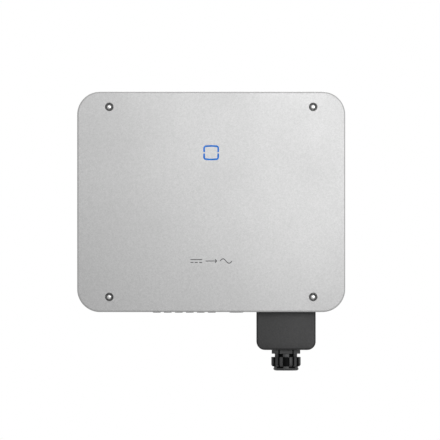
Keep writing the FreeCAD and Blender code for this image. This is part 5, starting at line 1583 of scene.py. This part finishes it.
class INVERTER_OT_junction_box(bpy.types.Operator):
    """Build the mains junction box and its flange screws"""
    bl_idname = "inverter.junction_box"
    bl_label = "Junction box"

    def execute(self, context):
        hood = settings(context, "hood")
        add_piece("junction_box_shell", hood_shape(hood), FINISHES["dark"], "ac_box_body", ["ac_box_hood"],
                  50.0)
        low, high = span("ac_box_screws")
        radius, head = 4.4, 4.0
        screw = socket_screw_shape(radius, head, shank=2.5, socket=4.0, drop=13.9)
        screw = screw.turned("X", 180).moved(z=low[2] + head)
        front, back = (corner[1] for corner in span("ac_box_hood"))
        rows = (front + 20, (front + back) / 2, back - 10)
        spots = [(x, y, 0) for x in (low[0] + radius, high[0] - radius) for y in rows]
        add_piece("junction_box_screws", repeated(screw, spots), FINISHES["steel"], "ac_box_body",
                  ["ac_box_screws"])
        return {"FINISHED"}


class INVERTER_OT_cable_glands(bpy.types.Operator):
    """Build the mains gland and the communication gland"""
    bl_idname = "inverter.cable_glands"
    bl_label = "Cable glands"

    def execute(self, context):
        gland = settings(context, "gland")
        self.mains(gland)
        self.signal(gland)
        for node, bore in (("ac_gland_seal", 23.0), ("com_gland_seal", 7.5)):
            add_piece(f"{node}_bush", seal_shape(node, bore), FINISHES["rubber"], body_of_node(node), [node])
        for node, bore in (("ac_gland_slip_ring", 26.0), ("com_gland_slip_ring", 11.5)):
            add_piece(f"{node}_washer", ring_shape(node, bore), FINISHES["nylon"], body_of_node(node), [node])
        return {"FINISHED"}

    def mains(self, gland):
        """Mains gland's body and dome nut."""
        low, high = span("ac_gland_body")
        x, y, _ = centre("ac_gland_body")
        face = span("ac_box_hood")[0][2]
        nut_low, nut_high = span("ac_gland_dome_nut")
        outer = (nut_high[0] - nut_low[0]) / 2
        thread, hex_height = gland.mains_thread, 10.4
        core = thread - 4.0
        neck = nut_high[2] - 0.2
        seat = span("ac_gland_slip_ring")[0][2] - 0.05
        body = joined([
            gland_thread_shape(x, y, (high[2], face, neck, low[2]), thread, core, core - 1.0),
            gland_hexagon_shape(x, y, face, face - hex_height, neck, gland.mains_flats, core, thread - 0.6)])
        nut = ribbed_nut_shape(gland, x, y, nut_high[2], nut_low[2], outer, collar=33.2, mouth=25.0,
                               thread=thread, seat=seat)
        add_piece("mains_gland_body", body, FINISHES["nylon"], "ac_box_body", ["ac_gland_body"])
        add_piece("mains_gland_dome_nut", nut, FINISHES["nylon"], "ac_gland_nut_body", ["ac_gland_dome_nut"],
                  40.0)

    def signal(self, gland):
        """Communication gland's body and dome nut."""
        low, high = span("com_gland_body")
        x, y, _ = centre("com_gland_body")
        face = UNDERSIDE
        nut_low, nut_high = span("com_gland_dome_nut")
        thread, hex_height = gland.signal_thread, 6.0
        core = thread - 2.0
        neck = nut_high[2] - 0.2
        seat = span("com_gland_slip_ring")[0][2] - 0.05
        body = joined([
            gland_thread_shape(x, y, (high[2], face, neck, low[2]), thread, core, core - 2.0),
            gland_hexagon_shape(x, y, face, face - hex_height, neck, gland.signal_flats, core, thread - 0.4)])
        nut = hex_nut_shape(x, y, nut_high[2], nut_low[2], gland.signal_flats, mouth=10.5, thread=thread,
                            seat=seat)
        add_piece("signal_gland_body", body, FINISHES["nylon"], "inverter_body", ["com_gland_body"])
        add_piece("signal_gland_dome_nut", nut, FINISHES["nylon"], "com_gland_nut_body",
                  ["com_gland_dome_nut"])


class INVERTER_OT_plug_connectors(bpy.types.Operator):
    """Build the two rows of solar plug connectors"""
    bl_idname = "inverter.plug_connectors"
    bl_label = "Plug connectors"

    def execute(self, context):
        plug = settings(context, "plug")
        for name, node, maker in (("solar_sockets", "dc_negative_sockets", socket_shape),
                                  ("solar_plug_noses", "dc_positive_noses", nose_shape)):
            low, high = span(node)
            x, y, _ = centre(node)
            spots = [(x + plug.pitch * (k - 2.5), y, 0) for k in range(6)]
            add_piece(name, repeated(maker(plug, low, high), spots), FINISHES["nylon"], "inverter_body",
                      [node])
        return {"FINISHED"}


class INVERTER_OT_isolator(bpy.types.Operator):
    """Build the isolator's knob with its mark, and the marks beside it"""
    bl_idname = "inverter.isolator"
    bl_label = "Isolator"

    def execute(self, context):
        knob, mark = knob_shape(*span("dc_switch_knob"))
        add_piece("isolator_knob", knob, FINISHES["nylon"], "dc_switch_knob_body", ["dc_switch_knob"])
        add_piece("isolator_knob_mark", mark, FINISHES["module"], "dc_switch_knob_body")
        x, y, _ = centre("dc_switch_knob")
        dial = dial_marks_shape(x, y, span("dc_switch_bezel")[0][2])
        add_piece("isolator_dial_marks", dial, FINISHES["module"], "inverter_body")
        return {"FINISHED"}


class INVERTER_OT_small_fittings(bpy.types.Operator):
    """Build the radio port with its cap, the pressure vent and the earth terminal"""
    bl_idname = "inverter.small_fittings"
    bl_label = "Small fittings"

    def execute(self, context):
        add_piece("radio_port_and_cap", radio_port_shape(), FINISHES["nylon"], "inverter_body",
                  ["dongle_port"])
        add_piece("pressure_vent_plug", vent_shape(), FINISHES["nylon"], "inverter_body",
                  ["pressure_vent"])
        steel, boss = earth_shape()
        add_piece("earth_stud_and_nut", steel, FINISHES["steel"], "inverter_body", ["earth_terminal"])
        add_piece("earth_boss", boss, FINISHES["aluminium"], "inverter_body")
        return {"FINISHED"}


class INVERTER_OT_fans(bpy.types.Operator):
    """Build the three fan rotors and the finger guards"""
    bl_idname = "inverter.fans"
    bl_label = "Fans"

    def execute(self, context):
        fan = settings(context, "fan")
        for place in fan_places():
            rotor = rotor_shape(fan, place["node"])
            add_piece(f"{place['node']}_blades", rotor, FINISHES["fan"], place["body"], [place["node"]])
        add_piece("fan_finger_guards", guard_shape(fan), FINISHES["steel"], "fan_tray_body", ["fan_guards"])
        low, _ = span("fan_tray_screws")
        head, side, behind, before = 2.8, 262, -42, -126
        screw = socket_screw_shape(4.0, head, shank=2.0, socket=2.5, drop=9.9)
        screw = screw.turned("X", 180).moved(z=low[2] + head)
        spots = [(x, y, 0) for x in (-side, side) for y in (behind, before)]
        add_piece("fan_tray_socket_screws", repeated(screw, spots), FINISHES["steel"], "fan_tray_body",
                  ["fan_tray_screws"])
        return {"FINISHED"}


class INVERTER_OT_sheet_metal(bpy.types.Operator):
    """Round the edges of the duct, the tray, the bracket and the moulded frames"""
    bl_idname = "inverter.sheet_metal"
    bl_label = "Sheet metal and frames"

    def execute(self, context):
        for finish, width, nodes in (
                ("zinc", 0.3, ("duct_shroud", "fan_tray_plate", "bracket_crossbars", "bracket_rail_left",
                               "bracket_rail_right", "hanging_ears", "cover_standoffs")),
                ("fan", 0.5, ("fan_frames",)),
                ("terminal", 0.4, ("ac_terminal_block",)),
                ("nylon", 0.5, ("dc_switch_bezel", "ac_gland_locknut")),
                ("dark", 0.2, ("exhaust_grille",)),
                ("board", 0.15, ("indicator_board",))):
            for node in nodes:
                add_softened(node, FINISHES[finish], width)
        return {"FINISHED"}


class INVERTER_OT_fasteners(bpy.types.Operator):
    """Build the bracket's bolts and locking screws, the back wall's screws and the terminal studs"""
    bl_idname = "inverter.fasteners"
    bl_label = "Fasteners"

    def execute(self, context):
        add_piece("bracket_bolts_and_locks", bracket_fasteners_shape(), FINISHES["steel"], "inverter_body",
                  ["bracket_bolts"])
        add_piece("duct_pan_screws", duct_screws_shape(), FINISHES["steel"], "inverter_body")
        add_piece("mains_terminal_studs", terminal_studs_shape(), FINISHES["steel"], "inverter_body",
                  ["ac_terminal_studs"])
        return {"FINISHED"}


class INVERTER_OT_studio(bpy.types.Operator):
    """Set up the pale floor, the soft lights, the white surroundings and the camera"""
    bl_idname = "inverter.studio"
    bl_label = "Studio"

    def execute(self, context):
        studio = context.scene.inverter_studio
        scene = context.scene
        scene.view_settings.view_transform = "Standard"
        face = span("front_cover")[0][1] * MM
        aim = Vector((studio.shift_x, face, -studio.drop_z))
        camera = bpy.data.cameras.new("camera")
        camera.lens = studio.lens
        camera.sensor_width = 36.0
        camera.clip_end = 300.0
        holder = bpy.data.objects.new("camera", camera)
        holder.location = aim - Vector((0, studio.width * studio.lens / camera.sensor_width, 0))
        holder.rotation_euler = (math.radians(90), 0, 0)
        scene.collection.objects.link(holder)
        scene.camera = holder
        for name, place, target, size, spread in (
                ("key", (0.9, -2.3, 0.3), (0.45, face, 0.20), 1.3, 62.0),
                ("fill", (-0.2, -2.4, 0.9), (-0.15, face, 0.60), 1.3, 62.0),
                ("back", (0.4, 3.0, 1.6), (0.0, 0.0, 0.0), 1.5, 150.0)):
            self.light(f"{name}_light", place, target, size, getattr(studio, name), spread)
        reach, corner, levels = 10000, 200, (-920, -900)
        floor = stack([(-reach, reach, -reach, reach, corner, level) for level in levels], upright=False)
        plate = bpy.data.objects.new("studio_floor", mesh_of("studio_floor", floor))
        plate.data.materials.append(FINISHES["floor"])
        scene.collection.objects.link(plate)
        self.surroundings(scene, studio.ambient)
        return {"FINISHED"}

    def light(self, name, place, target, size, power, spread):
        """A square soft light, aimed at a point, that fades towards the edge of its spread in degrees."""
        lamp = bpy.data.lights.new(name, "AREA")
        lamp.energy = power
        lamp.size = size
        lamp.spread = math.radians(spread)
        holder = bpy.data.objects.new(name, lamp)
        holder.location = place
        holder.rotation_euler = (Vector(target) - Vector(place)).to_track_quat("-Z", "Y").to_euler()
        bpy.context.scene.collection.objects.link(holder)

    def surroundings(self, scene, ambient):
        """White where the camera sees past the object, and softer white as light."""
        world = bpy.data.worlds.new("studio")
        world.use_nodes = True
        tree = world.node_tree
        tree.nodes.clear()
        n = Nodes(tree)
        white = (1.0, 1.0, 1.0, 1.0)
        seen = n.add("ShaderNodeBackground", {"Color": white, "Strength": 1.0})
        lit = n.add("ShaderNodeBackground", {"Color": white, "Strength": ambient})
        ray = n.add("ShaderNodeLightPath").outputs["Is Camera Ray"]
        mixed = n.add("ShaderNodeMixShader", {0: ray, 1: lit.outputs[0], 2: seen.outputs[0]})
        output = n.add("ShaderNodeOutputWorld")
        tree.links.new(mixed.outputs[0], output.inputs["Surface"])
        scene.world = world


OPERATORS = (
    INVERTER_OT_finishes, INVERTER_OT_front_cover, INVERTER_OT_cover_screws, INVERTER_OT_status_light,
    INVERTER_OT_printed_symbol, INVERTER_OT_enclosure, INVERTER_OT_side_handles, INVERTER_OT_junction_box,
    INVERTER_OT_cable_glands, INVERTER_OT_plug_connectors, INVERTER_OT_isolator, INVERTER_OT_small_fittings,
    INVERTER_OT_fans, INVERTER_OT_sheet_metal, INVERTER_OT_fasteners, INVERTER_OT_studio,
)


class INVERTER_PT_pieces(bpy.types.Panel):
    """Lists the pieces and their settings"""
    bl_label = "String inverter"
    bl_idname = "INVERTER_PT_pieces"
    bl_space_type = "VIEW_3D"
    bl_region_type = "UI"
    bl_category = "Inverter"

    def draw(self, context):
        for operator in OPERATORS:
            self.layout.operator(operator.bl_idname)
        for name, group in SETTINGS.items():
            box = self.layout.box()
            for key in group.__annotations__:
                box.prop(getattr(context.scene, name), key)


def register():
    for cls in (*SETTINGS.values(), *OPERATORS, INVERTER_PT_pieces):
        bpy.utils.register_class(cls)
    for name, group in SETTINGS.items():
        setattr(bpy.types.Scene, name, bpy.props.PointerProperty(type=group))


def unregister():
    for name in SETTINGS:
        delattr(bpy.types.Scene, name)
    for cls in (INVERTER_PT_pieces, *reversed(OPERATORS), *reversed(tuple(SETTINGS.values()))):
        bpy.utils.unregister_class(cls)


def main():
    """Build everything."""
    register()
    for operator in OPERATORS:
        group, name = operator.bl_idname.split(".")
        result = getattr(getattr(bpy.ops, group), name)()
        if result != {"FINISHED"}:
            raise RuntimeError(f"{operator.bl_label} didn't finish")


if __name__ == "__main__":
    main()
